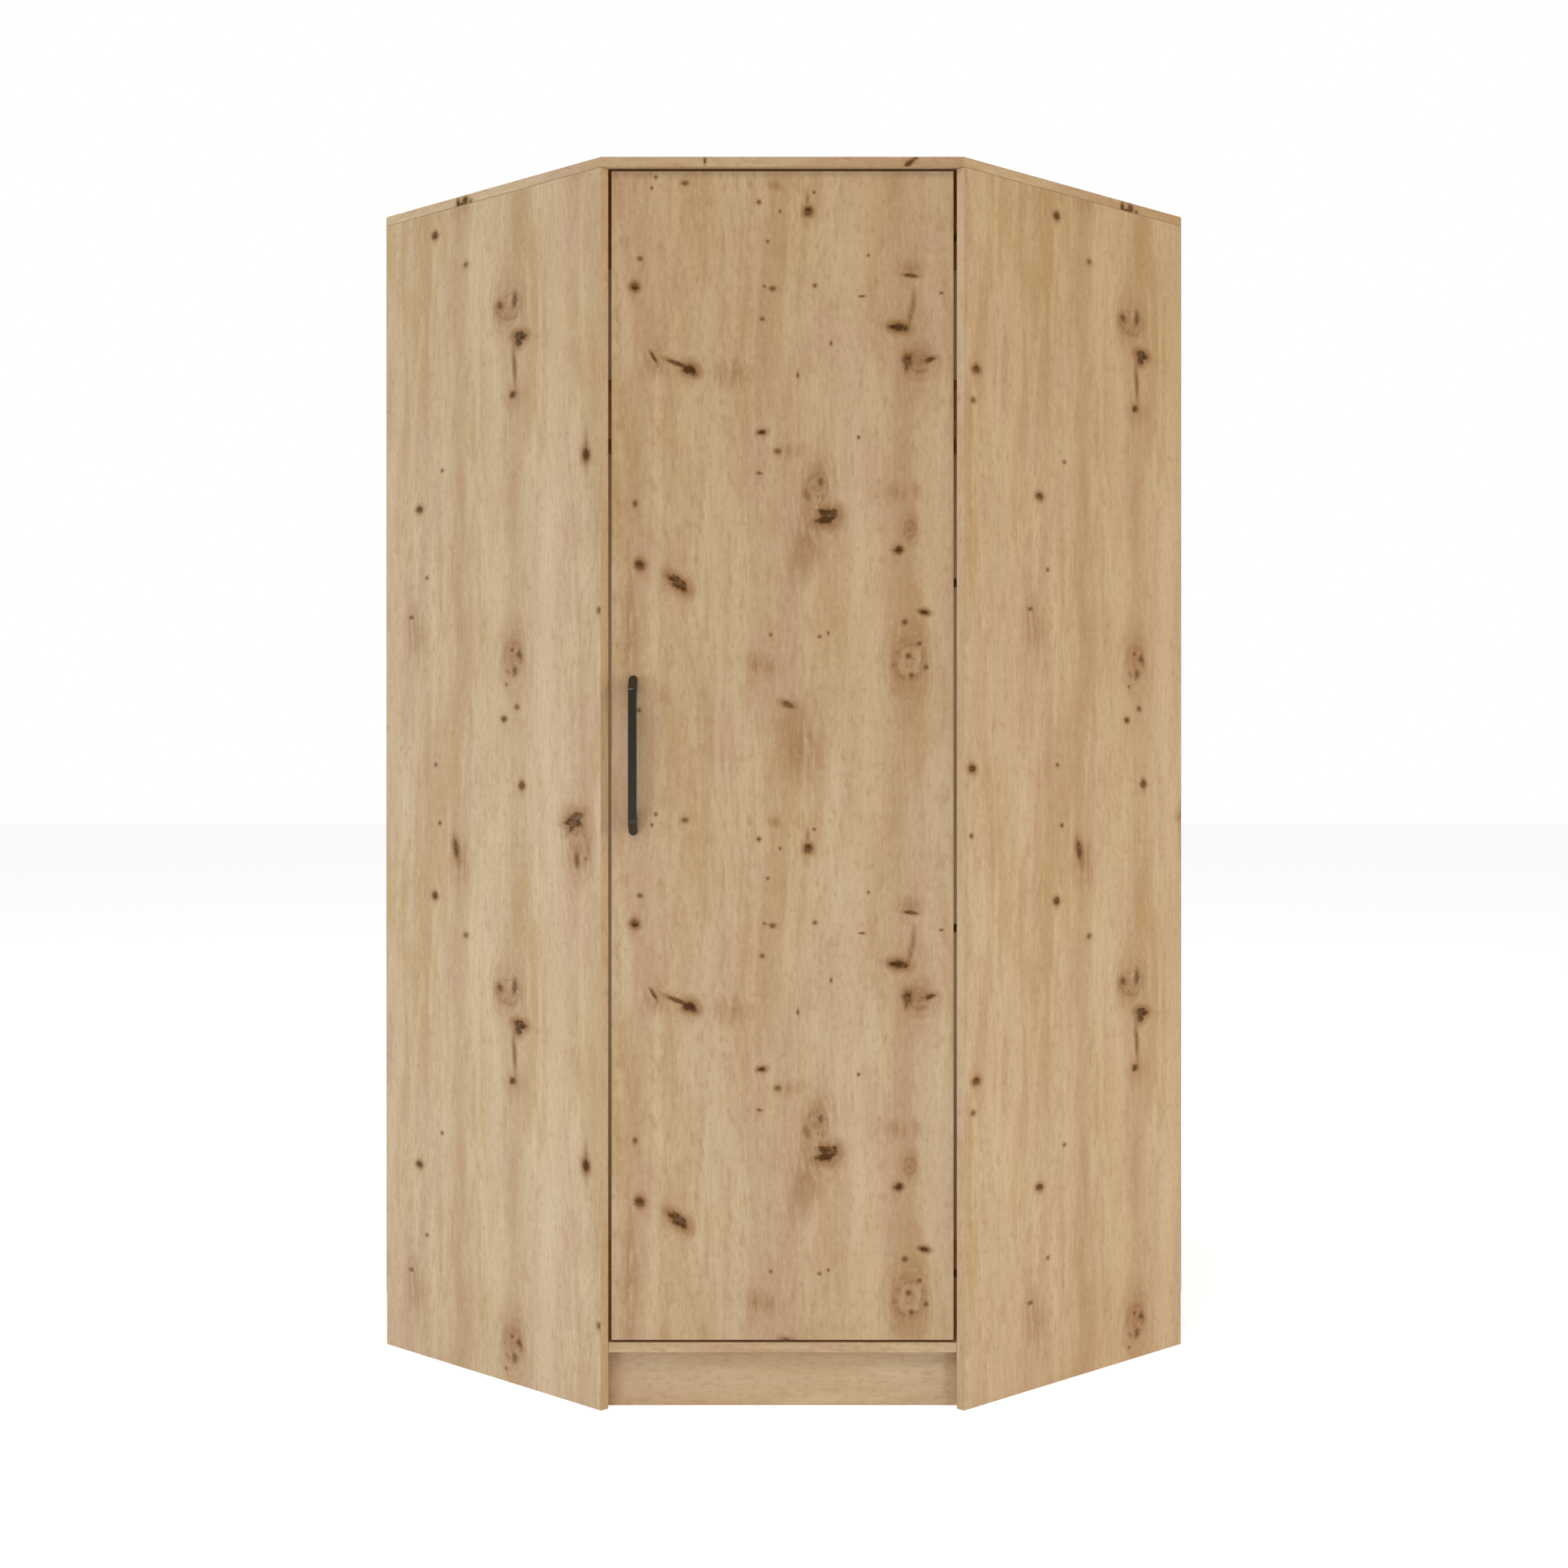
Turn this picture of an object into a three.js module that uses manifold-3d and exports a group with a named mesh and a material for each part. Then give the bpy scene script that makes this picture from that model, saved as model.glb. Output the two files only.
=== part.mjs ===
// Corner wardrobe with one door, for a room corner of 90 degrees. Millimetres, +Z up, front towards -Y.
// The plan has five corners: two backs along the walls, two side panels square to them, and the door across
// the corner at 45 degrees to both.
import * as THREE from "three";
import { mergeVertices } from "three/addons/utils/BufferGeometryUtils.js";
import Module from "manifold-3d";

// Driving dimensions.
const height = 2000;
const wallLength = 1000; // outside length along each wall
const sideDepth = 590; // depth of a side panel, from the wall to its front edge
const board = 16; // laminated chipboard
const backSheet = 3; // hardboard
const plinthHeight = 90;
const plinthRecess = 20; // plinth face behind the door's face
const hatSpace = 328; // between the hat shelf and the top panel
const shelfSetback = 60; // hat shelf's front edge behind the door's face
const doorSideGap = 5;
const doorEndGap = 4;
const fitGap = 0.3; // between pieces that seat on each other
const overrun = 2; // how far a cutting shape runs past what it cuts
const fineSides = 24;
const coarseSides = 12;
const coarseBelow = 7; // radius under which a round has fewer sides
const cornerTurn = -135; // degrees, from the front's frame to the room corner's

// Rear posts and backs.
const postWidth = 100;
const backEdgeInset = 2; // how far a back sheet stays inside the outer faces
const stripWidth = 18;
const stripFlange = 1;
const stripWeb = 1.2;

// Clothes rail and its hangers.
const railLength = 900;
const railTall = 30;
const railWide = 15;
const railWall = 1.2;
const railDrop = 50; // centre of the rail under the shelf
const railBehindDoor = 389; // centre of the rail behind the door's face
const railCap = 3;
const railCapLip = 1;
const railCapPlug = 12;
const hangerSpacing = 700;
const hangerThick = 12;
const hangerWall = 2.5;
const hangerStem = 6;
const hangerPlateLong = 46;
const hangerPlateThick = 3;
const hangerScrewInset = 6;
const hangerScrewHole = 2;

// Shelf pins.
const pinRadius = 2.5;
const pinInBoard = 9;
const pinOut = 10;
const pinFromWall = 80;
const pinFromEdge = 85;
const pinCollarRadius = 4;
const pinCollarThick = 1.5;

// Cam locks: round housings let into the boards near their joints.
const camRadius = 7.5;
const camDepth = 12.5;
const camFromJoint = 34;
const camFromWall = 60;
const camFromEdge = 60;
const camSlotWide = 1.6;
const camSlotLong = 9;
const camSlotDeep = 2;

// Angle brackets, behind the plinth and at the wall.
const plinthBracketLeg = 34;
const plinthBracketWide = 40;
const plinthBracketThick = 2;
const plinthBracketSpacing = 300;
const wallBracketLeg = 40;
const wallBracketWide = 30;
const wallBracketThick = 2.5;
const wallBracketAlong = 300; // from the room corner
const bracketHole = 2.5;
const legHoleShare = 0.6; // a bracket's hole along its leg
const plinthBracketHoles = 20;

// Handle: a bow with sloping ends and round end outlines.
const handleLength = 256;
const handleWidth = 14;
const handleProjection = 28;
const handleBar = 8;
const handleFoot = 25;
const handleSlope = 22; // length of an end's slope along the door
const handleInnerSlope = 14;
const handleCorner = 5;
const handleScrewSpacing = 224;
const handleFromEdge = 35; // handle's middle from the door's free edge
const handleHeight = 1045; // handle's middle above the floor
const handleScrewRadius = 2;
const handleScrewInFoot = 12;
const handleScrewHead = 4.5;
const handleScrewHeadThick = 2.5;
const handleScrewSlotWide = 1.2;
const handleScrewSlotDeep = 1.2;

// Hinges for an inset door at 45 degrees to its side panel, one pin each.
const hingeCount = 4;
const hingeFromEnd = 100; // first and last hinge from the door's ends
const pivotFromEdge = 17; // pin from the door's hinge edge
const pivotFromFace = 15; // pin behind the door's face
const hingePinRadius = 2;
const hingePinLength = 25;
const cupRadius = 17.5;
const cupDepth = 11.5;
const cupFloor = 1.2;
const cupFromEdge = 22.5; // cup's centre from the door's hinge edge
const cavityFrom = 9; // cup's hollow, from the door's hinge edge
const cavityTo = 35;
const cavityTall = 19;
const flangeFrom = 13;
const flangeTo = 34;
const flangeTall = 60;
const flangeThick = 2;
const flangeCorner = 6;
const flangeScrew = 24; // screw hole from the cup's centre height
const flangeScrewHole = 1.8;
const flangeScrewFrom = 29; // screw hole from the door's hinge edge
const armWide = 14;
const armSheet = 3.6;
const armBarrel = 4.4;
const armLeave = 85; // degrees, direction in which the arm leaves the pin, from the side panel's face
const armSwing = 27; // radius of the bow that clears the door's edge
const armBend = 8;
const armRise = 9; // middle of the straight part above the side panel
const armEnd = 78;
const armBodyFrom = 33;
const armBodyTop = 13;

// How finely curves are drawn.
const curveSteps = 6;
const cornerSteps = 2;
const plateFrom = 28;
const plateTo = 66;
const plateBase = 2.3;
const plateTall = 60;
const plateWingFrom = 30;
const plateWingTo = 44;
const plateWingCorner = 6;
const plateBlockWide = 12;
const plateScrew = 24;
const plateScrewHole = 2;

// Places that follow from the dimensions above.
const diagonal = Math.SQRT2;
const inner = wallLength - board; // a side panel's inner face
const seat = backSheet + fitGap; // rear edges of the boards
const doorLine = inner + sideDepth; // x + y on the line of the door's face, from the room corner
const roomCorner = (wallLength + sideDepth) / diagonal; // room corner behind the front corners
const openingWide = (inner - sideDepth) * diagonal;
const doorFace = board / diagonal; // door's face behind the front corners
const doorWidth = openingWide - 2 * doorSideGap;
const underTop = height - board;
const shelfUnderside = underTop - hatSpace - board;
const floorTop = plinthHeight + board;
const doorBottom = floorTop + doorEndGap;
const doorTop = underTop - doorEndGap;
const pivotX = doorWidth / 2 - pivotFromEdge;
const frontmost = doorFace - handleProjection;
const middle = (frontmost + roomCorner) / 2;

const wasm = await Module();
wasm.setup();

const oak = new THREE.MeshStandardMaterial({ color: 0xbf9c76, roughness: 0.62 });
const hardboard = new THREE.MeshStandardMaterial({ color: 0x8a6242, roughness: 0.85 });
const steel = new THREE.MeshStandardMaterial({ color: 0xb9bbbd, roughness: 0.35, metalness: 1 });
const chrome = new THREE.MeshStandardMaterial({ color: 0xd9dadb, roughness: 0.12, metalness: 1 });
const zinc = new THREE.MeshStandardMaterial({ color: 0xa6a8a6, roughness: 0.5, metalness: 1 });
const black = new THREE.MeshStandardMaterial({ color: 0x1b1b1c, roughness: 0.45, metalness: 0.3 });
const plastic = new THREE.MeshStandardMaterial({ color: 0xe8e6e0, roughness: 0.5 });

// The closed solid of a geometry, for joining and cutting.
function solidOf(geometry) {
  const bare = geometry.clone();
  bare.deleteAttribute("normal");
  bare.deleteAttribute("uv");
  const merged = mergeVertices(bare);
  const vertProperties = merged.attributes.position.array;
  const triVerts = new Uint32Array(merged.index.array);
  return new wasm.Manifold(new wasm.Mesh({ numProp: 3, vertProperties, triVerts }));
}

function geometryOf(solid) {
  const mesh = solid.getMesh();
  const geometry = new THREE.BufferGeometry();
  geometry.setAttribute("position", new THREE.BufferAttribute(mesh.vertProperties, mesh.numProp));
  geometry.setIndex(new THREE.BufferAttribute(mesh.triVerts, 1));
  const flat = geometry.toNonIndexed();
  flat.computeVertexNormals();
  return flat;
}

function cut(geometry, tools) {
  const cutSolid = tools.reduce((solid, tool) => solid.subtract(solidOf(tool)), solidOf(geometry));
  return geometryOf(cutSolid);
}

function join(geometries) {
  const solids = geometries.map(solidOf);
  return geometryOf(solids.reduce((sum, solid) => sum.add(solid)));
}

function meet(first, second) {
  return geometryOf(solidOf(first).intersect(solidOf(second)));
}

function box(low, high) {
  const size = high.map((value, axis) => value - low[axis]);
  const centre = high.map((value, axis) => (value + low[axis]) / 2);
  return new THREE.BoxGeometry(...size).translate(...centre);
}

// A round bar between two distances along one axis, through a point given by the other two in turn.
function bar(axis, radius, from, to, across, over) {
  const sides = radius < coarseBelow ? coarseSides : fineSides;
  const rod = new THREE.CylinderGeometry(radius, radius, to - from, sides);
  const centre = (from + to) / 2;
  if (axis === "x") {
    return rod.rotateZ(-Math.PI / 2).translate(centre, across, over);
  }
  if (axis === "y") {
    return rod.translate(across, centre, over);
  }
  return rod.rotateX(Math.PI / 2).translate(across, over, centre);
}

function extruded(shape, from, to, curveSegments = curveSteps) {
  const settings = { depth: to - from, bevelEnabled: false, curveSegments };
  return new THREE.ExtrudeGeometry(shape, settings).translate(0, 0, from);
}

// An upright prism over an outline of [x, y] points.
function prism(points, from, to) {
  return extruded(new THREE.Shape(points.map(([x, y]) => new THREE.Vector2(x, y))), from, to);
}

// Lays a shape drawn in x and y, with its thickness along z, on three new directions.
function laid(geometry, xTo, yTo, zTo) {
  const directions = [xTo, yTo, zTo].map((way) => new THREE.Vector3(...way));
  return geometry.applyMatrix4(new THREE.Matrix4().makeBasis(...directions));
}

// A shape drawn in y and z, extruded along x.
function alongX(geometry) {
  return laid(geometry, [0, 1, 0], [0, 0, 1], [1, 0, 0]);
}

// A shape drawn in x and z, extruded towards -y.
function towardsFront(geometry) {
  return laid(geometry, [1, 0, 0], [0, 0, 1], [0, -1, 0]);
}

// A rounded rectangle, from its lowest and highest corners and the radius of its corners.
function roundedPlate(low, high, corner) {
  const [x0, y0] = low;
  const [x1, y1] = high;
  const shape = new THREE.Shape();
  shape.moveTo(x0 + corner, y0);
  shape.lineTo(x1 - corner, y0);
  shape.absarc(x1 - corner, y0 + corner, corner, -Math.PI / 2, 0);
  shape.absarc(x1 - corner, y1 - corner, corner, 0, Math.PI / 2);
  shape.absarc(x0 + corner, y1 - corner, corner, Math.PI / 2, Math.PI);
  shape.absarc(x0 + corner, y0 + corner, corner, Math.PI, Math.PI * 1.5);
  return shape;
}

function piece(group, name, geometry, material) {
  const mesh = new THREE.Mesh(geometry, material);
  mesh.name = name;
  group.add(mesh);
  return mesh;
}

// The two wings are mirror images. A place in a wing is its distance along the wall from the room corner,
// its distance off that wall, and its height.
const wings = {
  left: {
    point: (along, off) => [along, off],
    axis: "x",
    faceIn: [0, -Math.PI / 2, 0],
  },
  right: {
    point: (along, off) => [off, along],
    axis: "y",
    faceIn: [Math.PI / 2, 0, 0],
  },
};

function wingBox(wing, along, off, z) {
  const low = [...wing.point(along[0], off[0]), z[0]];
  const high = [...wing.point(along[1], off[1]), z[1]];
  return box(low, high);
}

// A round bar along the wall's direction.
function wingBar(wing, radius, along, off, z) {
  return bar(wing.axis, radius, along[0], along[1], off, z);
}

// A round bar square to the wall.
function wingCrossBar(wing, radius, off, along, z) {
  const axis = wing.axis === "x" ? "y" : "x";
  return bar(axis, radius, off[0], off[1], along, z);
}

// Everything in the carcass stands in the room corner's own frame: x along the left wall, y along the right.
const carcass = new THREE.Group();
carcass.position.y = roomCorner;
carcass.rotation.z = THREE.MathUtils.degToRad(cornerTurn);

const camPlacesOff = [seat + camFromWall, sideDepth - camFromEdge];
const upperCamZ = underTop - camFromJoint;
const pinPlacesOff = [seat + pinFromWall, sideDepth - shelfSetback * diagonal - pinFromEdge];
const pinZ = shelfUnderside - fitGap - pinRadius;
const collarZ = pinZ + pinRadius - pinCollarRadius; // collar and pin have their tops level
const postPin = seat + postWidth / 2;

// A pin's hole is wider than the pin by the fit.
function pinHole(wing, off) {
  const along = [inner - overrun, inner + pinInBoard + fitGap];
  return wingBar(wing, pinRadius + fitGap, along, off, pinZ);
}

function camPocket(wing, off) {
  const along = [inner - overrun, inner + camDepth + fitGap];
  return wingBar(wing, camRadius + fitGap, along, off, upperCamZ);
}

function sidePanel(wing) {
  const panel = wingBox(wing, [inner, wallLength], [seat, sideDepth], [0, underTop - fitGap]);
  const pins = pinPlacesOff.map((off) => pinHole(wing, off));
  const cams = camPlacesOff.map((off) => camPocket(wing, off));
  return cut(panel, [...pins, ...cams]);
}

// The left post reaches into the room corner, and the right one stands against it.
function rearPost(wing) {
  const rear = wing === wings.left ? seat : seat + board + fitGap;
  const post = wingBox(wing, [rear, seat + postWidth], [seat, seat + board], [0, underTop - fitGap]);
  const bore = [seat + board - pinInBoard - fitGap, seat + board + overrun];
  return cut(post, [wingCrossBar(wing, pinRadius + fitGap, bore, postPin, pinZ)]);
}

// A board between the side panels, notched round the rear posts, with its front edge on a given line.
function innerBoard(line, from, to) {
  const end = inner - fitGap;
  const notchWide = seat + board + fitGap;
  const notchLong = seat + postWidth + fitGap;
  const outline = [
    [notchLong, seat],
    [end, seat],
    [end, line - end],
    [line - end, end],
    [seat, end],
    [seat, notchLong],
    [notchWide, notchLong],
    [notchWide, notchWide],
    [notchLong, notchWide],
  ];
  return prism(outline, from, to);
}

function topPanel() {
  const outline = [
    [seat, seat],
    [wallLength, seat],
    [wallLength, sideDepth],
    [sideDepth, wallLength],
    [seat, wallLength],
  ];
  return prism(outline, underTop, height);
}

function hatShelf() {
  return innerBoard(doorLine - shelfSetback * diagonal, shelfUnderside, shelfUnderside + board);
}

const lowerCamPlaces = [seat + camFromWall, sideDepth - camFromEdge - camFromJoint];

function bottomPanel() {
  const panel = innerBoard(doorLine, plinthHeight, floorTop);
  const pockets = [wings.left, wings.right].flatMap((wing) =>
    lowerCamPlaces.map((off) => {
      const [x, y] = wing.point(inner - camFromJoint, off);
      return bar("z", camRadius + fitGap, plinthHeight - overrun, plinthHeight + camDepth + fitGap, x, y);
    }),
  );
  return cut(panel, pockets);
}

function plinth() {
  const face = doorLine - plinthRecess * diagonal;
  const rear = face - board * diagonal;
  const end = inner - fitGap;
  const outline = [
    [end, rear - end],
    [end, face - end],
    [face - end, end],
    [rear - end, end],
  ];
  return prism(outline, 0, plinthHeight - fitGap);
}

// One hardboard sheet of a back, with a hole for the wall screw where the sheet carries a wall bracket.
const backZ = [plinthHeight + backEdgeInset, height - backEdgeInset];
const bracketScrewZ = underTop - fitGap - wallBracketLeg * legHoleShare;

function backSheetPiece(wing, along, holds) {
  const sheet = wingBox(wing, along, [0, backSheet], backZ);
  if (!holds) {
    return sheet;
  }
  const through = [-overrun, backSheet + overrun];
  return cut(sheet, [wingCrossBar(wing, bracketHole + fitGap, through, wallBracketAlong, bracketScrewZ)]);
}

// The strip that joins two sheets: a web between them, a flange over their rear and one inside each bay.
function jointStrip(wing, along) {
  const web = [along - stripWeb / 2, along + stripWeb / 2];
  const flange = [along - stripWidth / 2, along + stripWidth / 2];
  const rear = -fitGap - stripFlange;
  const front = seat + stripFlange;
  const bays = [
    [floorTop + fitGap, shelfUnderside - fitGap],
    [shelfUnderside + board + fitGap, underTop - fitGap],
  ];
  return join([
    wingBox(wing, web, [rear, backSheet], backZ),
    wingBox(wing, flange, [rear, -fitGap], backZ),
    ...bays.map((z) => wingBox(wing, flange, [seat, front], z)),
    ...bays.map((z) => wingBox(wing, web, [rear, front], z)),
  ]);
}

function wallBracket(wing) {
  const along = [wallBracketAlong - wallBracketWide / 2, wallBracketAlong + wallBracketWide / 2];
  const off = [seat, seat + wallBracketLeg];
  const top = underTop - fitGap;
  const flat = wingBox(wing, along, off, [top - wallBracketThick, top]);
  const upright = wingBox(wing, along, [seat, seat + wallBracketThick], [top - wallBracketLeg, top]);
  const wallHole = [seat - overrun, seat + wallBracketThick + overrun];
  const [x, y] = wing.point(wallBracketAlong, seat + wallBracketLeg * legHoleShare);
  return cut(join([flat, upright]), [
    wingCrossBar(wing, bracketHole, wallHole, wallBracketAlong, bracketScrewZ),
    bar("z", bracketHole, top - wallBracketThick - overrun, top + overrun, x, y),
  ]);
}

// A shelf pin: a round bar, half in the board and half under the shelf, with a collar at the board's face.
function shelfPin(wing, off) {
  const collar = [inner - fitGap - pinCollarThick, inner - fitGap];
  return join([
    wingBar(wing, pinRadius, [inner - pinOut, inner + pinInBoard], off, pinZ),
    wingBar(wing, pinCollarRadius, collar, off, collarZ),
  ]);
}

function postShelfPin(wing) {
  const face = seat + board;
  const collar = [face + fitGap, face + fitGap + pinCollarThick];
  return join([
    wingCrossBar(wing, pinRadius, [face - pinInBoard, face + pinOut], postPin, pinZ),
    wingCrossBar(wing, pinCollarRadius, collar, postPin, collarZ),
  ]);
}

// A cam lock's housing: a round body with a cross slot for the driver in its face.
function camLock() {
  const body = bar("z", camRadius, -camDepth, 0, 0, 0);
  const half = camSlotLong / 2;
  const side = camSlotWide / 2;
  return cut(body, [
    box([-half, -side, -camSlotDeep], [half, side, overrun]),
    box([-side, -half, -camSlotDeep], [side, half, overrun]),
  ]);
}

function addUpperCam(wing, name, off) {
  const holder = new THREE.Group();
  holder.position.set(...wing.point(inner, off), upperCamZ);
  holder.rotation.set(...wing.faceIn);
  piece(holder, name, camLock(), zinc);
  carcass.add(holder);
}

function addLowerCam(wing, name, off) {
  const holder = new THREE.Group();
  holder.position.set(...wing.point(inner - camFromJoint, off), plinthHeight);
  holder.rotation.x = Math.PI;
  piece(holder, name, camLock(), zinc);
  carcass.add(holder);
}

piece(carcass, "top_panel", topPanel(), oak);
piece(carcass, "bottom_panel", bottomPanel(), oak);
piece(carcass, "hat_shelf", hatShelf(), oak);
piece(carcass, "plinth", plinth(), oak);

for (const [side, wing] of Object.entries(wings)) {
  piece(carcass, `${side}_side_panel`, sidePanel(wing), oak);
  piece(carcass, `${side}_rear_post`, rearPost(wing), oak);
  const start = side === "left" ? 0 : backSheet + fitGap;
  const joint = wallLength / 2;
  const gap = stripWeb / 2 + fitGap;
  piece(carcass, `${side}_back_inner_sheet`, backSheetPiece(wing, [start, joint - gap], true), hardboard);
  const outer = [joint + gap, wallLength - backEdgeInset];
  piece(carcass, `${side}_back_outer_sheet`, backSheetPiece(wing, outer, false), hardboard);
  piece(carcass, `${side}_back_joint_strip`, jointStrip(wing, joint), plastic);
  piece(carcass, `${side}_wall_bracket`, wallBracket(wing), steel);
  pinPlacesOff.forEach((off, index) => {
    piece(carcass, `${side}_shelf_pin_${index + 1}`, shelfPin(wing, off), steel);
  });
  piece(carcass, `${side}_post_shelf_pin`, postShelfPin(wing), steel);
  camPlacesOff.forEach((off, index) => addUpperCam(wing, `${side}_top_cam_${index + 1}`, off));
  lowerCamPlaces.forEach((off, index) => addLowerCam(wing, `${side}_bottom_cam_${index + 1}`, off));
}

// What runs parallel to the door stands in a group at the door's face: x to the right, y into the wardrobe.
const across = new THREE.Group();
across.position.y = doorFace;

// An oval outline: a flat-sided slot with round ends, tall in its second axis.
function oval(wide, tall) {
  const radius = wide / 2;
  const straight = tall / 2 - radius;
  const shape = new THREE.Shape();
  shape.absarc(0, straight, radius, 0, Math.PI);
  shape.absarc(0, -straight, radius, Math.PI, Math.PI * 2);
  return shape;
}

const railZ = shelfUnderside - railDrop;

function clothesRail() {
  const shape = oval(railWide, railTall);
  shape.holes.push(oval(railWide - 2 * railWall, railTall - 2 * railWall));
  return alongX(extruded(shape, -railLength / 2, railLength / 2));
}

function railEndCap() {
  const plugWide = railWide - 2 * (railWall + fitGap);
  const plugTall = railTall - 2 * (railWall + fitGap);
  const head = extruded(oval(railWide + 2 * railCapLip, railTall + 2 * railCapLip), fitGap, fitGap + railCap);
  const plug = extruded(oval(plugWide, plugTall), -railCapPlug, fitGap + railCap / 2);
  return alongX(join([head, plug]));
}

// A hanger: a plate under the shelf, a stem and a closed loop round the rail.
function railHanger() {
  const loopWide = railWide + 2 * (fitGap + hangerWall);
  const loopTall = railTall + 2 * (fitGap + hangerWall);
  const half = hangerThick / 2;
  const loop = extruded(oval(loopWide, loopTall), -half, half);
  const bore = extruded(oval(railWide + 2 * fitGap, railTall + 2 * fitGap), -half - overrun, half + overrun);
  const plateTop = railDrop - fitGap;
  const stemFoot = loopTall / 2 - hangerWall / 2;
  const stem = box([-hangerStem / 2, stemFoot, -half], [hangerStem / 2, plateTop, half]);
  const plateHalf = hangerPlateLong / 2;
  const plate = box([-plateHalf, plateTop - hangerPlateThick, -half], [plateHalf, plateTop, half]);
  const screws = [-1, 1].map((way) => {
    const place = way * (plateHalf - hangerScrewInset);
    return bar("y", hangerScrewHole, plateTop - hangerPlateThick - overrun, plateTop + overrun, place, 0);
  });
  return alongX(cut(join([loop, stem, plate]), [bore, ...screws]));
}

// An angle bracket behind the plinth: one leg down the plinth's rear face, one under the bottom panel.
function plinthBracket() {
  const half = plinthBracketWide / 2;
  const rear = fitGap;
  const top = -fitGap;
  const upright = box([-half, rear, top - plinthBracketLeg], [half, rear + plinthBracketThick, top]);
  const flat = box([-half, rear, top - plinthBracketThick], [half, rear + plinthBracketLeg, top]);
  const place = plinthBracketHoles / 2;
  const legHole = plinthBracketLeg * legHoleShare;
  const holes = [-1, 1].flatMap((way) => [
    bar("y", bracketHole, rear - overrun, rear + plinthBracketThick + overrun, way * place, top - legHole),
    bar("z", bracketHole, top - plinthBracketThick - overrun, top + overrun, way * place, rear + legHole),
  ]);
  return cut(join([upright, flat]), holes);
}

const rail = new THREE.Group();
rail.position.set(0, railBehindDoor, railZ);
across.add(rail);
piece(rail, "clothes_rail", clothesRail(), chrome);
const sides = [
  ["left", -1],
  ["right", 1],
];
for (const [side, way] of sides) {
  const hanger = piece(rail, `${side}_rail_hanger`, railHanger(), chrome);
  hanger.position.x = (way * hangerSpacing) / 2;
  const cap = piece(rail, `${side}_rail_end_cap`, railEndCap(), plastic);
  cap.position.x = (way * railLength) / 2;
  cap.rotation.z = way > 0 ? 0 : Math.PI;
  const bracket = piece(across, `${side}_plinth_bracket`, plinthBracket(), steel);
  bracket.position.set((way * plinthBracketSpacing) / 2, plinthRecess + board, plinthHeight);
}

// Hinges on the right side panel. Their frame stands at the panel's inner front corner: x along the panel
// towards the wall, y into the wardrobe.
const hingeSide = new THREE.Group();
hingeSide.position.set(openingWide / 2, 0, 0);
hingeSide.rotation.z = Math.PI / 4;
across.add(hingeSide);

const pivotInside = openingWide / 2 - pivotX; // from the panel's inner front corner to the pin, across
const pivotAlong = (pivotFromFace - pivotInside) / diagonal;
const pivotOff = (pivotFromFace + pivotInside) / diagonal;

// The outline of a sheet that follows a path, from the path's points and the sheet's thickness.
function ribbon(points, thick) {
  const sides = points.map((point, index) => {
    const before = points[Math.max(index - 1, 0)];
    const after = points[Math.min(index + 1, points.length - 1)];
    const way = after.clone().sub(before).normalize();
    return new THREE.Vector2(-way.y, way.x).multiplyScalar(thick / 2);
  });
  const left = points.map((point, index) => point.clone().add(sides[index]));
  const right = points.map((point, index) => point.clone().sub(sides[index]));
  return new THREE.Shape([...left.reverse(), ...right]);
}

// The arm leaves the pin, bows round the door's edge at a steady radius and turns along the side panel.
function hingeArm() {
  const half = armWide / 2;
  const leave = THREE.MathUtils.degToRad(armLeave);
  const turnOff = armBend / armSwing;
  const neck = armSwing - armBend;
  const start = new THREE.Vector2(pivotAlong + neck * Math.cos(leave), pivotOff + neck * Math.sin(leave));
  const corner = new THREE.Vector2(
    pivotAlong + armSwing * Math.cos(leave),
    pivotOff + armSwing * Math.sin(leave),
  );
  const bowStart = new THREE.Vector2(
    pivotAlong + armSwing * Math.cos(leave - turnOff),
    pivotOff + armSwing * Math.sin(leave - turnOff),
  );
  const path = new THREE.CurvePath();
  path.add(new THREE.LineCurve(new THREE.Vector2(pivotAlong, pivotOff), start));
  path.add(new THREE.QuadraticBezierCurve(start, corner, bowStart));
  path.add(new THREE.EllipseCurve(pivotAlong, pivotOff, armSwing, armSwing, leave - turnOff, 0, true));
  const bendX = pivotAlong + armSwing + armBend;
  const bendY = armRise + armBend;
  path.add(
    new THREE.LineCurve(
      new THREE.Vector2(pivotAlong + armSwing, pivotOff),
      new THREE.Vector2(pivotAlong + armSwing, bendY),
    ),
  );
  path.add(new THREE.EllipseCurve(bendX, bendY, armBend, armBend, Math.PI, Math.PI * 1.5));
  path.add(new THREE.LineCurve(new THREE.Vector2(bendX, armRise), new THREE.Vector2(armEnd, armRise)));
  const sheet = extruded(ribbon(path.getPoints(curveSteps), armSheet), -half, half);
  const barrel = bar("z", armBarrel, -half, half, pivotAlong, pivotOff);
  const body = box([armBodyFrom, armRise - armSheet / 2, -half], [armEnd, armBodyTop, half]);
  const bore = bar("z", hingePinRadius + fitGap, -half - overrun, half + overrun, pivotAlong, pivotOff);
  return cut(join([sheet, barrel, body]), [bore]);
}

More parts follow.
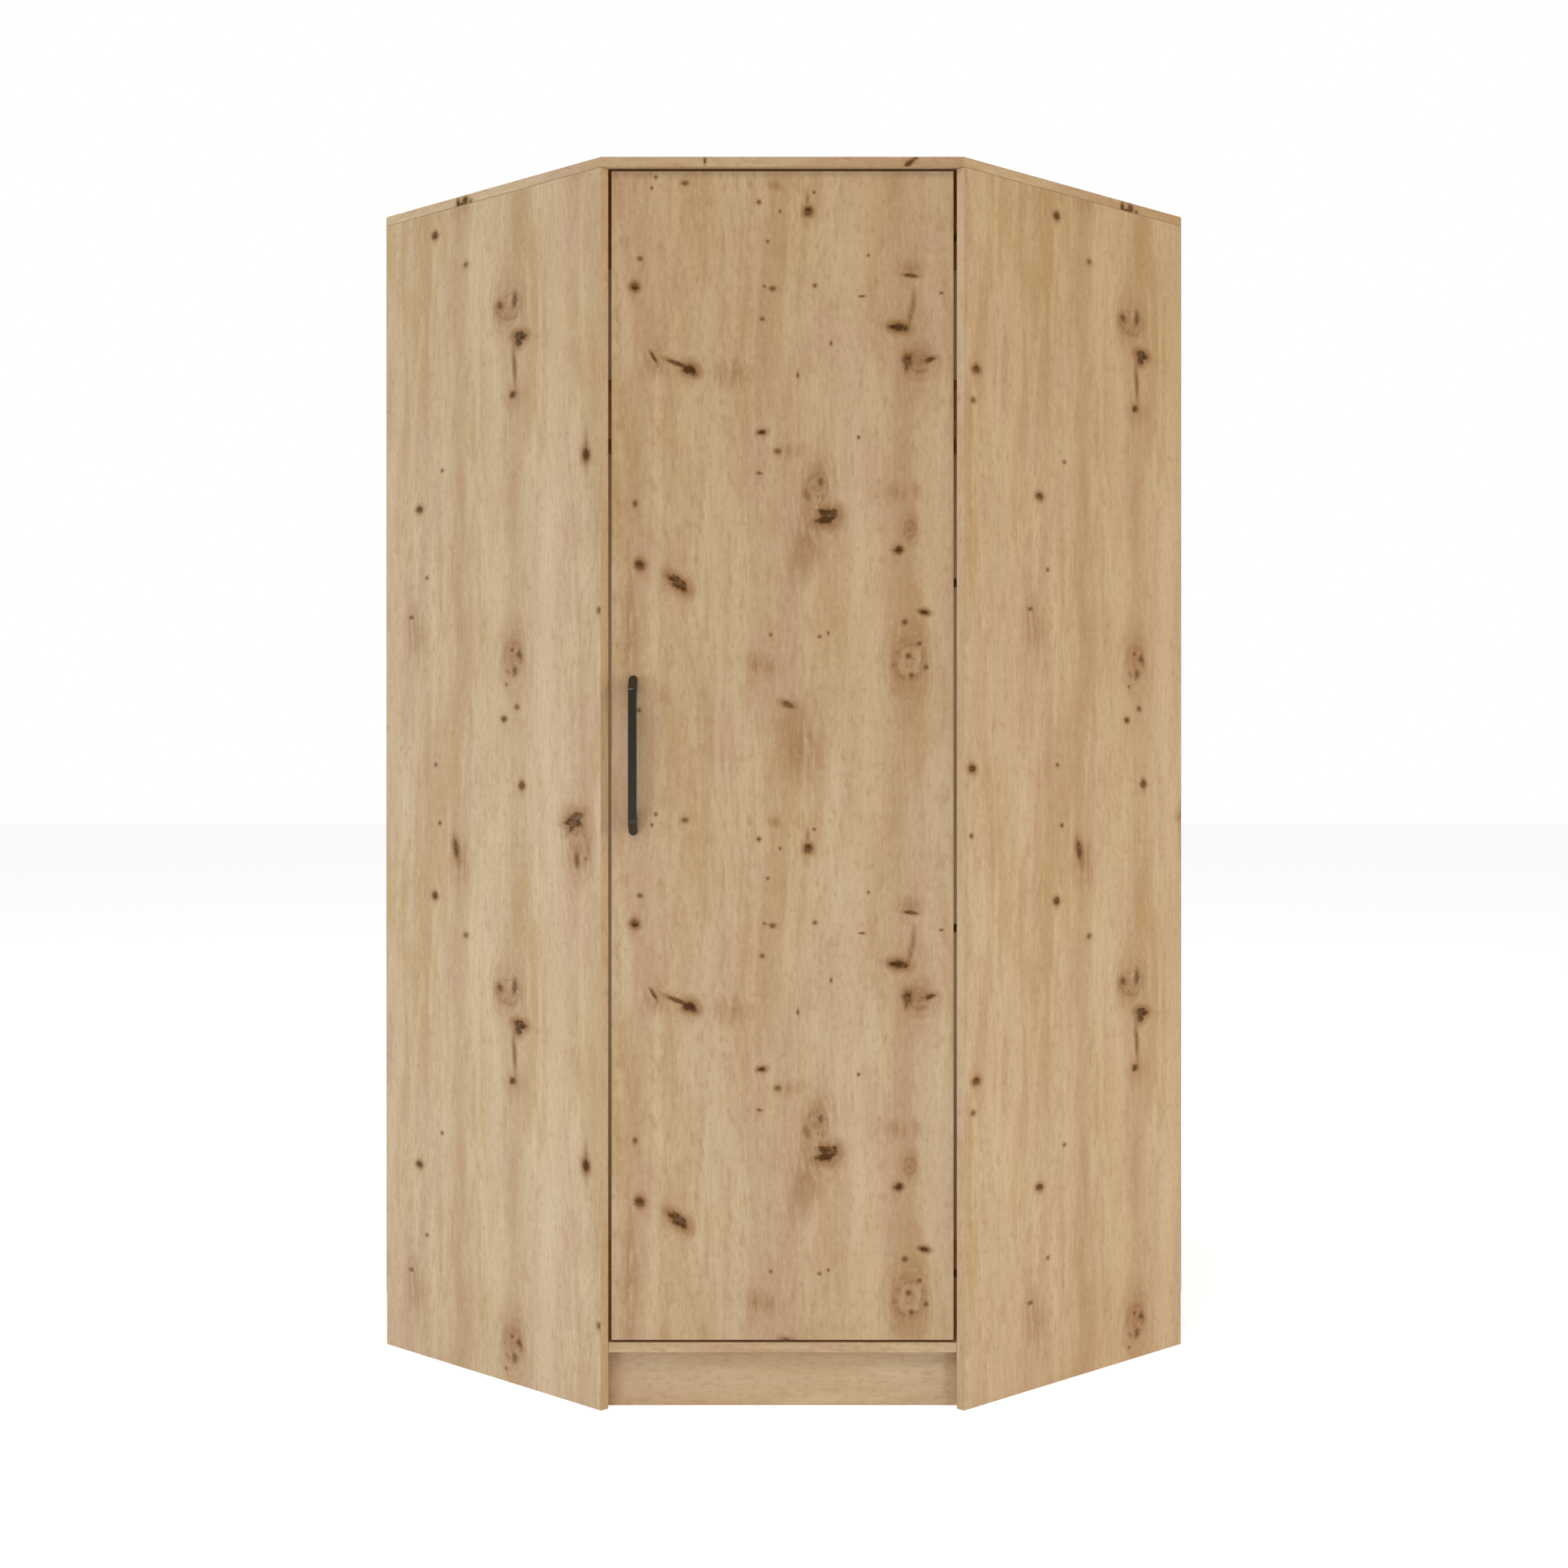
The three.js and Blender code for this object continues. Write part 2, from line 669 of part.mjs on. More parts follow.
// The mounting plate: a base with a wing above and below for its screws, and a block under the arm.
function hingePlate() {
  const half = plateTall / 2;
  const blockTop = armRise - armSheet / 2 - fitGap;
  const wingShape = roundedPlate([plateWingFrom, -half], [plateWingTo, half], plateWingCorner);
  const wing = towardsFront(extruded(wingShape, 0, plateBase, cornerSteps));
  wing.translate(0, plateBase + fitGap, 0);
  const base = box([plateFrom, fitGap, -plateBlockWide / 2], [plateTo, blockTop, plateBlockWide / 2]);
  const holePlace = (plateWingFrom + plateWingTo) / 2;
  const holes = [-1, 1].map((way) =>
    bar("y", plateScrewHole, fitGap - overrun, plateBase + fitGap + overrun, holePlace, way * plateScrew),
  );
  return cut(join([wing, base]), holes);
}

const hingeSpan = doorTop - doorBottom - 2 * hingeFromEnd;
const hingePlaces = Array.from({ length: hingeCount }, (_, index) => {
  const share = index / (hingeCount - 1);
  return doorBottom + hingeFromEnd + share * hingeSpan;
});
hingePlaces.forEach((z, index) => {
  piece(hingeSide, `hinge_arm_${index + 1}`, hingeArm(), steel).position.z = z;
  piece(hingeSide, `hinge_plate_${index + 1}`, hingePlate(), steel).position.z = z;
});

// The door turns about its hinge pins, so its group stands on their axis: the door's face is pivotFromFace in
// front of it, and its hinge edge pivotFromEdge to the right.
const door = new THREE.Group();
door.position.set(pivotX, pivotFromFace, 0);
across.add(door);

const handleX = pivotFromEdge - doorWidth + handleFromEdge;
const faceY = -pivotFromFace;
const rearY = faceY + board;
const screwHeights = [-1, 1].map((way) => handleHeight + (way * handleScrewSpacing) / 2);

function doorPanel() {
  const panel = box([pivotFromEdge - doorWidth, faceY, doorBottom], [pivotFromEdge, rearY, doorTop]);
  const cupX = pivotFromEdge - cupFromEdge;
  const cups = hingePlaces.map((z) =>
    bar("y", cupRadius + fitGap, rearY - cupDepth - fitGap, rearY + overrun, cupX, z),
  );
  const screws = screwHeights.map((z) =>
    bar("y", handleScrewRadius + fitGap, faceY - overrun, rearY + overrun, handleX, z),
  );
  return cut(panel, [...cups, ...screws]);
}

// The cup: a round body let into the door, a flange with screw holes on its rear face, a hollow for the arm
// and a cross hole for the pin.
function hingeCup() {
  const cupX = pivotFromEdge - cupFromEdge;
  const flangeTop = rearY + fitGap + flangeThick;
  const body = bar("y", cupRadius, rearY - cupDepth, flangeTop - flangeThick / 2, cupX, 0);
  const flangeHalf = flangeTall / 2;
  const shape = roundedPlate(
    [pivotFromEdge - flangeTo, -flangeHalf],
    [pivotFromEdge - flangeFrom, flangeHalf],
    flangeCorner,
  );
  const flange = towardsFront(extruded(shape, 0, flangeThick, cornerSteps)).translate(0, flangeTop, 0);
  const hollow = box(
    [pivotFromEdge - cavityTo, rearY - cupDepth + cupFloor, -cavityTall / 2],
    [pivotFromEdge - cavityFrom, flangeTop + overrun, cavityTall / 2],
  );
  const pinHalf = hingePinLength / 2 + fitGap;
  const pinHole = bar("z", hingePinRadius + fitGap, -pinHalf, pinHalf, 0, 0);
  const screwX = pivotFromEdge - flangeScrewFrom;
  const screws = [-1, 1].map((way) =>
    bar("y", flangeScrewHole, rearY - overrun, flangeTop + overrun, screwX, way * flangeScrew),
  );
  return cut(join([body, flange]), [hollow, pinHole, ...screws]);
}

// Side view of the handle, x along it and y out from the door.
function handleSideView() {
  const end = handleLength / 2;
  const front = handleProjection;
  const inside = handleProjection - handleBar;
  const frontEnd = end - handleSlope;
  const insideEnd = end - handleFoot - handleInnerSlope;
  const shape = new THREE.Shape();
  shape.moveTo(-end, fitGap);
  shape.lineTo(-frontEnd - handleCorner, front - handleCorner);
  shape.quadraticCurveTo(-frontEnd, front, -frontEnd + handleCorner, front);
  shape.lineTo(frontEnd - handleCorner, front);
  shape.quadraticCurveTo(frontEnd, front, frontEnd + handleCorner, front - handleCorner);
  shape.lineTo(end, fitGap);
  shape.lineTo(end - handleFoot, fitGap);
  shape.lineTo(insideEnd + handleCorner, inside - handleCorner);
  shape.quadraticCurveTo(insideEnd, inside, insideEnd - handleCorner, inside);
  shape.lineTo(-insideEnd + handleCorner, inside);
  shape.quadraticCurveTo(-insideEnd, inside, -insideEnd - handleCorner, inside - handleCorner);
  shape.lineTo(-end + handleFoot, fitGap);
  return shape;
}

// The handle is what its side view and its round-ended front view have in common.
function handle() {
  const half = handleWidth / 2 + overrun;
  const bow = laid(extruded(handleSideView(), -half, half), [0, 0, 1], [0, -1, 0], [1, 0, 0]);
  const reach = handleProjection + overrun;
  const outline = towardsFront(extruded(oval(handleWidth, handleLength), -overrun, reach));
  const screws = [-1, 1].map((way) => {
    const z = (way * handleScrewSpacing) / 2;
    return bar("y", handleScrewRadius + fitGap, -handleScrewInFoot - fitGap, overrun, 0, z);
  });
  return cut(meet(bow, outline), screws);
}

// A handle screw: its head on the door's rear face, its shank through the door into the handle's foot.
function handleScrew() {
  const under = rearY + fitGap;
  const top = under + handleScrewHeadThick;
  const shank = bar("y", handleScrewRadius, faceY - handleScrewInFoot, top - handleScrewHeadThick / 2, 0, 0);
  const head = bar("y", handleScrewHead, under, top, 0, 0);
  const slotHalf = handleScrewSlotWide / 2;
  const slotReach = handleScrewHead - handleScrewSlotWide;
  return cut(join([shank, head]), [
    box([-slotHalf, top - handleScrewSlotDeep, -slotReach], [slotHalf, top + overrun, slotReach]),
    box([-slotReach, top - handleScrewSlotDeep, -slotHalf], [slotReach, top + overrun, slotHalf]),
  ]);
}

piece(door, "door_panel", doorPanel(), oak);
piece(door, "door_handle", handle(), black).position.set(handleX, faceY, handleHeight);
screwHeights.forEach((z, index) => {
  piece(door, `handle_screw_${index + 1}`, handleScrew(), steel).position.set(handleX, 0, z);
});
hingePlaces.forEach((z, index) => {
  piece(door, `hinge_cup_${index + 1}`, hingeCup(), steel).position.z = z;
  const pin = bar("z", hingePinRadius, -hingePinLength / 2, hingePinLength / 2, 0, 0);
  piece(door, `hinge_pin_${index + 1}`, pin, steel).position.z = z;
});

// The origin is on the floor, in the middle of the wardrobe's width and depth.
const wardrobe = new THREE.Group();
wardrobe.add(carcass, across);
wardrobe.position.y = -middle;

export default wardrobe;
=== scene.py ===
"""The looks of a corner wardrobe in knotty oak laminate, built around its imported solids.

Every class here is one sub-assembly of the wardrobe, one finish, or a piece of its print. Lengths in fields
whose names end in mm are millimetres; everything that Blender holds is in metres, with the front towards -Y.
"""

import logging
import math
from collections.abc import Callable
from dataclasses import dataclass, field
from enum import Enum
from functools import partial

import bmesh
import bpy
import numpy as np
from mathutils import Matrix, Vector


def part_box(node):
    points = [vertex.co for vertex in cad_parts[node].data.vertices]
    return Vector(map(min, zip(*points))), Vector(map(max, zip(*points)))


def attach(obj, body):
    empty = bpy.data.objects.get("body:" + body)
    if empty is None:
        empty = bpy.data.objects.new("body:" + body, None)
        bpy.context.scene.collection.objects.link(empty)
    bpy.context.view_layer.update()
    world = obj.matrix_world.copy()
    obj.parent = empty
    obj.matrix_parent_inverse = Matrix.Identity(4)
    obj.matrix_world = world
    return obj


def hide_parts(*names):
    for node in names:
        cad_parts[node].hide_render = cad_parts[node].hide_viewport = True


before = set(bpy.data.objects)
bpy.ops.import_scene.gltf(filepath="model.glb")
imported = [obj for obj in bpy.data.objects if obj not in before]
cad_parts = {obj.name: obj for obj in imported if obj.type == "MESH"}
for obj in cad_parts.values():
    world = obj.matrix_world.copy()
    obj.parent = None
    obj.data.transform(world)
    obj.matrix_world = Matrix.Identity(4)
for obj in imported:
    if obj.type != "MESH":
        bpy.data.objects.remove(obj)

# What feeds an input of a node, and the function that adds a node to a tree.
Wire = float | tuple | bpy.types.NodeSocket | bpy.types.Node
Adder = Callable[..., bpy.types.Node]

LOG = logging.getLogger("corner_wardrobe")
MM = 0.001
BOARD_MM = 16
ROOT_HALF = math.sqrt(0.5)
UP = Vector((0, 0, 1))
DOWN = Vector((0, 0, -1))
RIGHT = Vector((1, 0, 0))
FRONT = Vector((0, -1, 0))
BACK = Vector((0, 1, 0))
# The mix node keeps its colour sockets at these places.
MIX_FIRST, MIX_SECOND = 6, 7
# Settings of nodes that mix colours, and of nodes that ease a range in and out.
COLOURS = {"data_type": "RGBA"}
SMOOTH = {"interpolation_type": "SMOOTHSTEP"}
# The attributes that carry the print on every board.
GRAIN = "grain"
TONE = "tone"
NEAR_KNOTS = ("knot_nearest", "knot_second", "knot_third")
FORM_ENDING = "_form"
LOOK_ENDING = "_look"
# The attribute that turns each fastener's head.
FACING = "facing"
# Knots differ by this step in their seeds.
SEED_STEP = 1.7
# A band's second waver has its phase this many times over.
SECOND_PHASE = 2.3
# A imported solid's corners this near to each other are one, and its faces this near to level are one.
MERGE_MM = 0.01
FLAT_ANGLE = 0.4
# Edges sharper than this are eased.
SHARP_ANGLE = 40
# Faces whose directions have a larger product than this look the same way.
ALIKE = 0.5


class Body(Enum):
    """The two bodies that pieces ride on."""

    CARCASS = "carcass"
    DOOR = "door"


class Slot(Enum):
    """The record's material slots."""

    OAK = "oak_board"
    HARDBOARD = "hardboard"
    PLASTIC = "white_plastic"
    BLACK = "black_coat"
    CHROME = "chrome"
    ZINC = "zinc"
    NICKEL = "nickel_steel"


@dataclass(frozen=True)
class KnotLook:
    """How a knot shows: each field is a strength from nothing to one."""

    core: float
    halo: float
    rings: float
    spikes: float
    column: float


class KnotKind(Enum):
    """The kinds of knots in the print, from a pin to a brown smear without a heart."""

    PIN = KnotLook(0.68, 0.5, 0.0, 0.12, 0.0)
    DARK = KnotLook(1.0, 0.85, 0.15, 0.25, 0.6)
    STAR = KnotLook(0.95, 0.75, 0.35, 0.6, 0.6)
    CRACK = KnotLook(0.85, 0.4, 0.0, 0.35, 0.0)
    RINGED = KnotLook(0.0, 0.75, 1.0, 0.2, 0.9)
    TAIL = KnotLook(0.3, 0.95, 0.0, 0.2, 0.0)
    SMEAR = KnotLook(0.0, 0.7, 0.0, 0.4, 0.4)


def linear(colour: str) -> tuple[float, float, float, float]:
    """Turns an sRGB hex colour into the linear values that Blender's sockets hold.

    Args:
        colour: six hex digits.

    Returns:
        Red, green and blue in linear light, and full alpha.
    """
    shares = [int(colour[place : place + 2], 16) / 255 for place in (0, 2, 4)]
    light = [share / 12.92 if share <= 0.04045 else ((share + 0.055) / 1.055) ** 2.4 for share in shares]
    return (*light, 1.0)


def feed(node: bpy.types.Node, inputs: dict) -> None:
    """Gives a node's inputs their values and links.

    Args:
        node: the node that is fed.
        inputs: for each input's name or number, a value, an output, or a node whose result feeds it.
    """
    for key, value in inputs.items():
        if isinstance(value, bpy.types.Node):
            value = next(output for output in value.outputs if output.enabled)
        if isinstance(value, bpy.types.NodeSocket):
            node.id_data.links.new(value, node.inputs[key])
        else:
            node.inputs[key].default_value = value


def add_node(tree: bpy.types.NodeTree, kind: str, inputs: dict | None = None, **settings) -> bpy.types.Node:
    """Adds a node with its settings, values and links.

    Args:
        tree: the node tree that gets the node.
        kind: Blender's name for the kind of node.
        inputs: what feeds its inputs, as for feed.
        **settings: the node's own properties.

    Returns:
        The new node.
    """
    node = tree.nodes.new(kind)
    for name, value in settings.items():
        setattr(node, name, value)
    feed(node, inputs or {})
    return node


def empty_tree(owner: bpy.types.Material | bpy.types.World) -> Adder:
    """Clears the node tree of a material or a world, and gives the function that adds a node to it."""
    owner.use_nodes = True
    owner.node_tree.nodes.clear()
    return partial(add_node, owner.node_tree)


def new_material(name: str) -> tuple[bpy.types.Material, Adder, bpy.types.Node]:
    """Makes a material with nothing but a Principled shader on its output.

    Args:
        name: the finish's name.

    Returns:
        The material, the function that adds a node to it, and its Principled node.
    """
    material = bpy.data.materials.new(name)
    add = empty_tree(material)
    shader = add("ShaderNodeBsdfPrincipled")
    add("ShaderNodeOutputMaterial", {"Surface": shader})
    return material, add, shader


@dataclass(frozen=True)
class PhotoCamera:
    """A level camera almost straight in front of the door, which frames it as the photograph does."""

    eye: tuple[float, float, float] = (0.0212, -4.2299, 1.0496)
    lens_mm: float = 52.923
    sensor_mm: float = 36.0
    shift_x: float = -0.0075
    shift_y: float = -0.02
    picture: int = 1932

    def build(self) -> bpy.types.Object:
        """Makes the camera and hands it to the scene."""
        data = bpy.data.cameras.new("camera")
        data.lens = self.lens_mm
        data.sensor_width = self.sensor_mm
        data.shift_x = self.shift_x
        data.shift_y = self.shift_y
        camera = bpy.data.objects.new("camera", data)
        camera.location = self.eye
        camera.rotation_euler = (math.pi / 2, 0, 0)
        bpy.context.scene.collection.objects.link(camera)
        bpy.context.scene.camera = camera
        return camera

    def meet(self, px: float, py: float, point: Vector, normal: Vector) -> Vector:
        """Finds what a pixel of the photograph shows of a flat face.

        Args:
            px: the pixel's place from the photograph's left edge.
            py: the pixel's place from its top edge.
            point: any point of the face.
            normal: the face's direction.

        Returns:
            The point of the face behind that pixel.
        """
        per_picture = self.sensor_mm / self.lens_mm
        across = (px / self.picture - 0.5 + self.shift_x) * per_picture
        height = (0.5 - py / self.picture + self.shift_y) * per_picture
        ray = Vector((across, 1, height))
        eye = Vector(self.eye)
        return eye + ray * ((point - eye).dot(normal) / ray.dot(normal))


@dataclass(frozen=True)
class Knot:
    """A knot of the printed oak, at a pixel of the photograph, with its size on the board and its turn."""

    px: float
    py: float
    wide_mm: float
    tall_mm: float
    kind: KnotKind
    turn: float = 0.0


@dataclass(frozen=True)
class Band:
    """A soft band of darker heartwood or of paler outer wood that runs the whole length of the print."""

    px: float
    wide_mm: float
    brown: float = 0.0
    pale: float = 0.0
    waver_mm: float = 7
    phase: float = 0.0


@dataclass(frozen=True)
class PlacedKnot:
    """A knot on a face of a board: its middle, the face's two directions, its half sizes and its own seed."""

    centre: Vector
    across: Vector
    along: Vector
    half_wide: float
    half_tall: float
    look: KnotLook
    turn: float
    seed: float

    @property
    def normal(self) -> Vector:
        """The direction of the face that shows the knot."""
        return self.across.cross(self.along)

    @classmethod
    def of(cls, knot: Knot, centre: Vector, across: Vector, along: Vector, seed: float) -> "PlacedKnot":
        """Puts a knot of the print at a point of a board's face."""
        half = (knot.wide_mm * MM / 2, knot.tall_mm * MM / 2)
        return cls(centre, across, along, *half, knot.kind.value, math.radians(knot.turn), seed)


@dataclass(frozen=True)
class PlacedBand:
    """A band on a board: its middle's distance along the board's direction across, and how it shows."""

    across: float
    band: Band


@dataclass(frozen=True)
class Face:
    """A flat face of a board as the photograph shows it: its left edge, and its directions across and up."""

    left: Vector
    across: Vector
    along: Vector = field(default_factory=lambda: UP)

    @property
    def normal(self) -> Vector:
        """The direction of the face."""
        return self.across.cross(self.along)

    def place(self, camera: PhotoCamera, px: float, py: float) -> tuple[float, float]:
        """Where a pixel falls on this face, across from its left edge and up from the floor."""
        met = camera.meet(px, py, self.left, self.normal) - self.left
        return met.dot(self.across), met.dot(self.along)

    def point(self, across: float, height: float) -> Vector:
        """The point of the face at a distance from its left edge and from the floor."""
        return self.left + self.across * across + self.along * height


@dataclass(frozen=True)
class Print:
    """The oak paper's printed figure: its knots within one turn of the print cylinder, which then repeats."""

    repeat_mm: float
    knots: tuple[tuple[float, float, Knot], ...]
    # So many turns up and down from the photograph's one cover every board.
    turns: int = 2

    def on(self, face: Face, shift: float, wide: float, tall: float) -> list[PlacedKnot]:
        """Repeats the print's knots over a face.

        Args:
            face: the face that is papered.
            shift: how far the print lies to the right on it.
            wide: the face's width.
            tall: the face's height.

        Returns:
            The knots that fall on the face.
        """
        repeat = self.repeat_mm * MM
        placed = []
        for number, (across, height, knot) in enumerate(self.knots):
            reach = max(knot.wide_mm, knot.tall_mm) * MM
            for turn in range(-self.turns, self.turns + 1):
                x, z = across + shift, height + turn * repeat
                if -reach < x < wide + reach and -reach < z < tall + reach:
                    seed = SEED_STEP * number
                    placed.append(PlacedKnot.of(knot, face.point(x, z), face.across, face.along, seed))
        return placed


PIN, DARK, STAR, CRACK, RINGED, TAIL, SMEAR = KnotKind

# The door's print over one turn, from the top of the door down.
DOOR_REPEAT_MM = 1019
DOOR_KNOTS = (
    Knot(808, 218.5, 5, 5, PIN),
    Knot(844, 225.5, 12, 8, PIN),
    Knot(803, 231.5, 4, 5, PIN),
    Knot(955, 228, 18, 8, SMEAR, -20),
    Knot(935, 249, 7, 6, PIN),
    Knot(961, 260.5, 4, 5, PIN),
    Knot(1003, 237, 5, 4, PIN),
    Knot(995, 244, 6, 22, TAIL),
    Knot(996, 260, 15, 15, DARK),
    Knot(946, 297.5, 5, 4, PIN),
    Knot(1070, 314.5, 4, 4, PIN),
    Knot(788.5, 318.5, 8, 7, PIN),
    Knot(782, 353.5, 14, 13, DARK),
    Knot(1121, 331, 30, 14, SMEAR),
    Knot(1122, 339.5, 22, 6, CRACK, -4),
    Knot(942, 353, 5, 4, PIN),
    Knot(952, 355.5, 11, 8, PIN),
    Knot(1004, 352, 6, 6, PIN),
    Knot(1062, 365, 9, 3, CRACK),
    Knot(1160, 361, 6, 4, PIN),
    Knot(939, 393, 7, 6, PIN),
    Knot(1108, 403.5, 34, 14, DARK, -5),
    Knot(1123, 384, 8, 40, TAIL, -8),
    Knot(1024, 423, 4, 6, PIN),
    Knot(1118, 445, 15, 23, STAR),
    Knot(1146, 443, 19, 8, CRACK, 22),
    Knot(1132, 446, 34, 30, RINGED),
    Knot(805.5, 440.5, 21, 5, CRACK, -58),
    Knot(812, 447, 34, 22, SMEAR, -30),
    Knot(837, 449, 48, 7, CRACK, -22),
    Knot(850, 456, 28, 17, DARK, -18),
    Knot(902, 460, 42, 22, SMEAR),
    Knot(983, 462.5, 4, 8, PIN),
    Knot(938.5, 532.5, 14, 8, DARK, 6),
    Knot(1058, 539, 5, 5, PIN),
    Knot(958, 556, 10, 8, PIN),
    Knot(971, 556, 36, 12, SMEAR, 4),
    Knot(935.5, 583, 8, 4, PIN, -10),
    Knot(1006, 602, 33, 46, RINGED, -8),
    Knot(1011, 593.5, 8, 12, PIN),
    Knot(995, 611, 11, 18, TAIL, 30),
    Knot(1020, 636.5, 36, 26, STAR, 16),
    Knot(999, 646, 36, 44, SMEAR, -20),
    Knot(994, 672, 34, 70, SMEAR, -14),
    Knot(782.5, 620.5, 7, 9, PIN),
    Knot(1114, 606, 34, 14, SMEAR),
    Knot(1121, 652, 20, 24, RINGED),
    Knot(1107, 677.5, 14, 13, DARK),
    Knot(788, 696, 16, 14, DARK),
    Knot(835, 718, 36, 18, STAR, -42),
    Knot(1139, 754.5, 17, 8, DARK, -12),
    Knot(1115, 766.5, 10, 9, PIN),
    Knot(949.5, 782, 5, 5, PIN),
    Knot(1009.5, 784.5, 6, 4, PIN),
    Knot(1020.5, 780, 4, 5, PIN),
    Knot(1121, 815, 46, 62, RINGED),
    Knot(1119, 808, 9, 9, PIN),
    Knot(1123, 832, 8, 8, PIN, 30),
    Knot(1141, 822, 7, 7, PIN),
    Knot(1133, 793, 7, 6, PIN),
    Knot(936, 819, 44, 18, SMEAR, -12),
    Knot(776, 790, 16, 130, SMEAR),
    Knot(971, 868, 24, 11, PIN, -20),
    Knot(988, 912, 48, 66, SMEAR),
    Knot(787, 875, 7, 7, PIN),
)
DOOR_BANDS = (
    Band(1112, 56, brown=0.75),
    Band(1058, 52, pale=0.8, waver_mm=12, phase=1.0),
    Band(1012, 30, pale=0.35, phase=2.0),
    Band(948, 46, brown=0.4, phase=4.0),
    Band(884, 16, pale=0.5, waver_mm=3),
    Band(842, 34, pale=0.4, phase=3.0),
    Band(790, 26, brown=0.45, waver_mm=5, phase=2.5),
    Band(1150, 24, pale=0.4, waver_mm=4, phase=5.0),
)

# The side panels' print over one turn. Both panels show it, the right one further to the right.
WING_REPEAT_MM = 1142
WING_SHIFT_MM = 91
LEFT_WING_KNOTS = (
    Knot(536, 291, 16, 11, DARK),
    Knot(574, 326, 11, 8, PIN),
    Knot(634, 370, 15, 24, PIN, -15),
    Knot(616, 377, 17, 13, PIN, -20),
    Knot(626, 378, 64, 40, RINGED),
    Knot(641, 414, 38, 17, DARK, -4),
    Knot(639, 422, 20, 14, DARK),
    Knot(634, 450, 9, 60, TAIL, 6),
    Knot(632, 486, 17, 11, DARK),
    Knot(634, 489, 36, 20, SMEAR),
    Knot(743, 309, 7, 5, PIN),
    Knot(722, 560, 18, 22, DARK),
    Knot(722, 560, 9, 44, TAIL),
    Knot(545, 580, 9, 6, PIN),
    Knot(517, 628, 18, 11, DARK),
    Knot(526, 712, 8, 6, PIN),
    Knot(507, 761, 13, 7, PIN),
    Knot(512, 780, 34, 46, SMEAR, 14),
    Knot(632, 812, 50, 52, RINGED),
    Knot(631, 801, 8, 7, PIN),
    Knot(640, 807, 14, 9, PIN, -30),
    Knot(635, 826, 20, 20, SMEAR),
    Knot(634, 826, 12, 14, PIN),
    Knot(624, 843, 6, 5, PIN),
    Knot(621, 886, 14, 8, DARK),
    Knot(637, 871, 12, 8, PIN),
    Knot(643, 968, 16, 12, DARK),
    Knot(537, 942, 8, 6, PIN),
    Knot(542, 1014, 9, 7, PIN),
    Knot(562, 1045, 16, 34, CRACK, 14),
    Knot(567, 1060, 40, 44, SMEAR, 12),
    Knot(707, 1012, 46, 28, STAR, 12),
    Knot(714, 1046, 46, 56, RINGED, -6),
    Knot(711, 1060, 12, 26, PIN),
    Knot(738, 752, 11, 10, PIN),
    Knot(536, 1103, 15, 12, DARK),
)
RIGHT_WING_KNOTS = (
    Knot(1203, 455, 18, 12, DARK),
    Knot(1199, 493, 11, 8, PIN),
    Knot(1198, 947, 18, 12, DARK),
    Knot(1197, 1030, 10, 7, PIN),
)
LEFT_WING_BANDS = (
    Band(566, 40, brown=0.8, waver_mm=5),
    Band(634, 52, brown=0.75, waver_mm=5, phase=2.0),
    Band(604, 40, pale=0.7, phase=1.0),
    Band(680, 60, pale=0.8, waver_mm=12, phase=4.0),
    Band(526, 22, brown=0.35, waver_mm=4, phase=3.0),
    Band(490, 30, pale=0.5, waver_mm=4),
    Band(728, 34, brown=0.45, waver_mm=14, phase=5.0),
    Band(745, 16, pale=0.4),
)

# The knots in the edge bands of the top panel.
TOP_LEFT_KNOTS = (
    Knot(564.5, 251, 10, 16, DARK),
    Knot(573, 248.5, 16, 16, DARK),
    Knot(569, 252, 24, 7, DARK),
    Knot(580, 248, 8, 8, PIN),
)
TOP_RIGHT_KNOTS = (
    Knot(1383, 256, 10, 16, DARK),
    Knot(1392.5, 258, 14, 18, DARK),
    Knot(1388, 260, 22, 7, DARK),
    Knot(1400, 262, 8, 8, PIN),
)
TOP_FRONT_KNOTS = (
    Knot(868.6, 198, 4, 10, CRACK),
    Knot(1119, 202, 7, 16, DARK, -45),
    Knot(1122.5, 200, 6, 14, DARK, -45),
    Knot(1128, 195, 9, 4, PIN),
)


def long_noise(add: Adder, place: Wire, across_mm: float, along_mm: float, detail: float) -> bpy.types.Node:
    """Draws a noise that is drawn out along the grain.

    Args:
        add: adds a node to the material.
        place: the grain's coordinate, across first and then round the print cylinder.
        across_mm: the size of its patches across the grain.
        along_mm: their size along it.
        detail: how many finer noises it holds.

    Returns:
        The noise.
    """
    across, along = (1 / (size * MM) for size in (across_mm, along_mm))
    drawn = add("ShaderNodeVectorMath", {0: place, 1: (across, along, along)}, operation="MULTIPLY")
    return add("ShaderNodeTexNoise", {"Vector": drawn, "Scale": 1.0, "Detail": detail})


@dataclass(frozen=True)
class GrainLayer:
    """One layer of the printed grain: where a noise drawn out along the grain is high, its colour shows."""

    colour: str
    across_mm: float
    along_mm: float
    low: float
    high: float
    most: float
    detail: float = 1.0

    def share(self, add: Adder, place: Wire) -> bpy.types.Node:
        """Draws how much of the layer shows at each place of the grain."""
        noise = long_noise(add, place, self.across_mm, self.along_mm, self.detail)
        return add("ShaderNodeMapRange", {0: noise, 1: self.low, 2: self.high, 4: self.most}, **SMOOTH)

    def lay(self, add: Adder, place: Wire, below: Wire) -> bpy.types.Node:
        """Lays the layer over the colour that is below it."""
        share = self.share(add, place)
        return add("ShaderNodeMix", {0: share, MIX_FIRST: below, MIX_SECOND: linear(self.colour)}, **COLOURS)


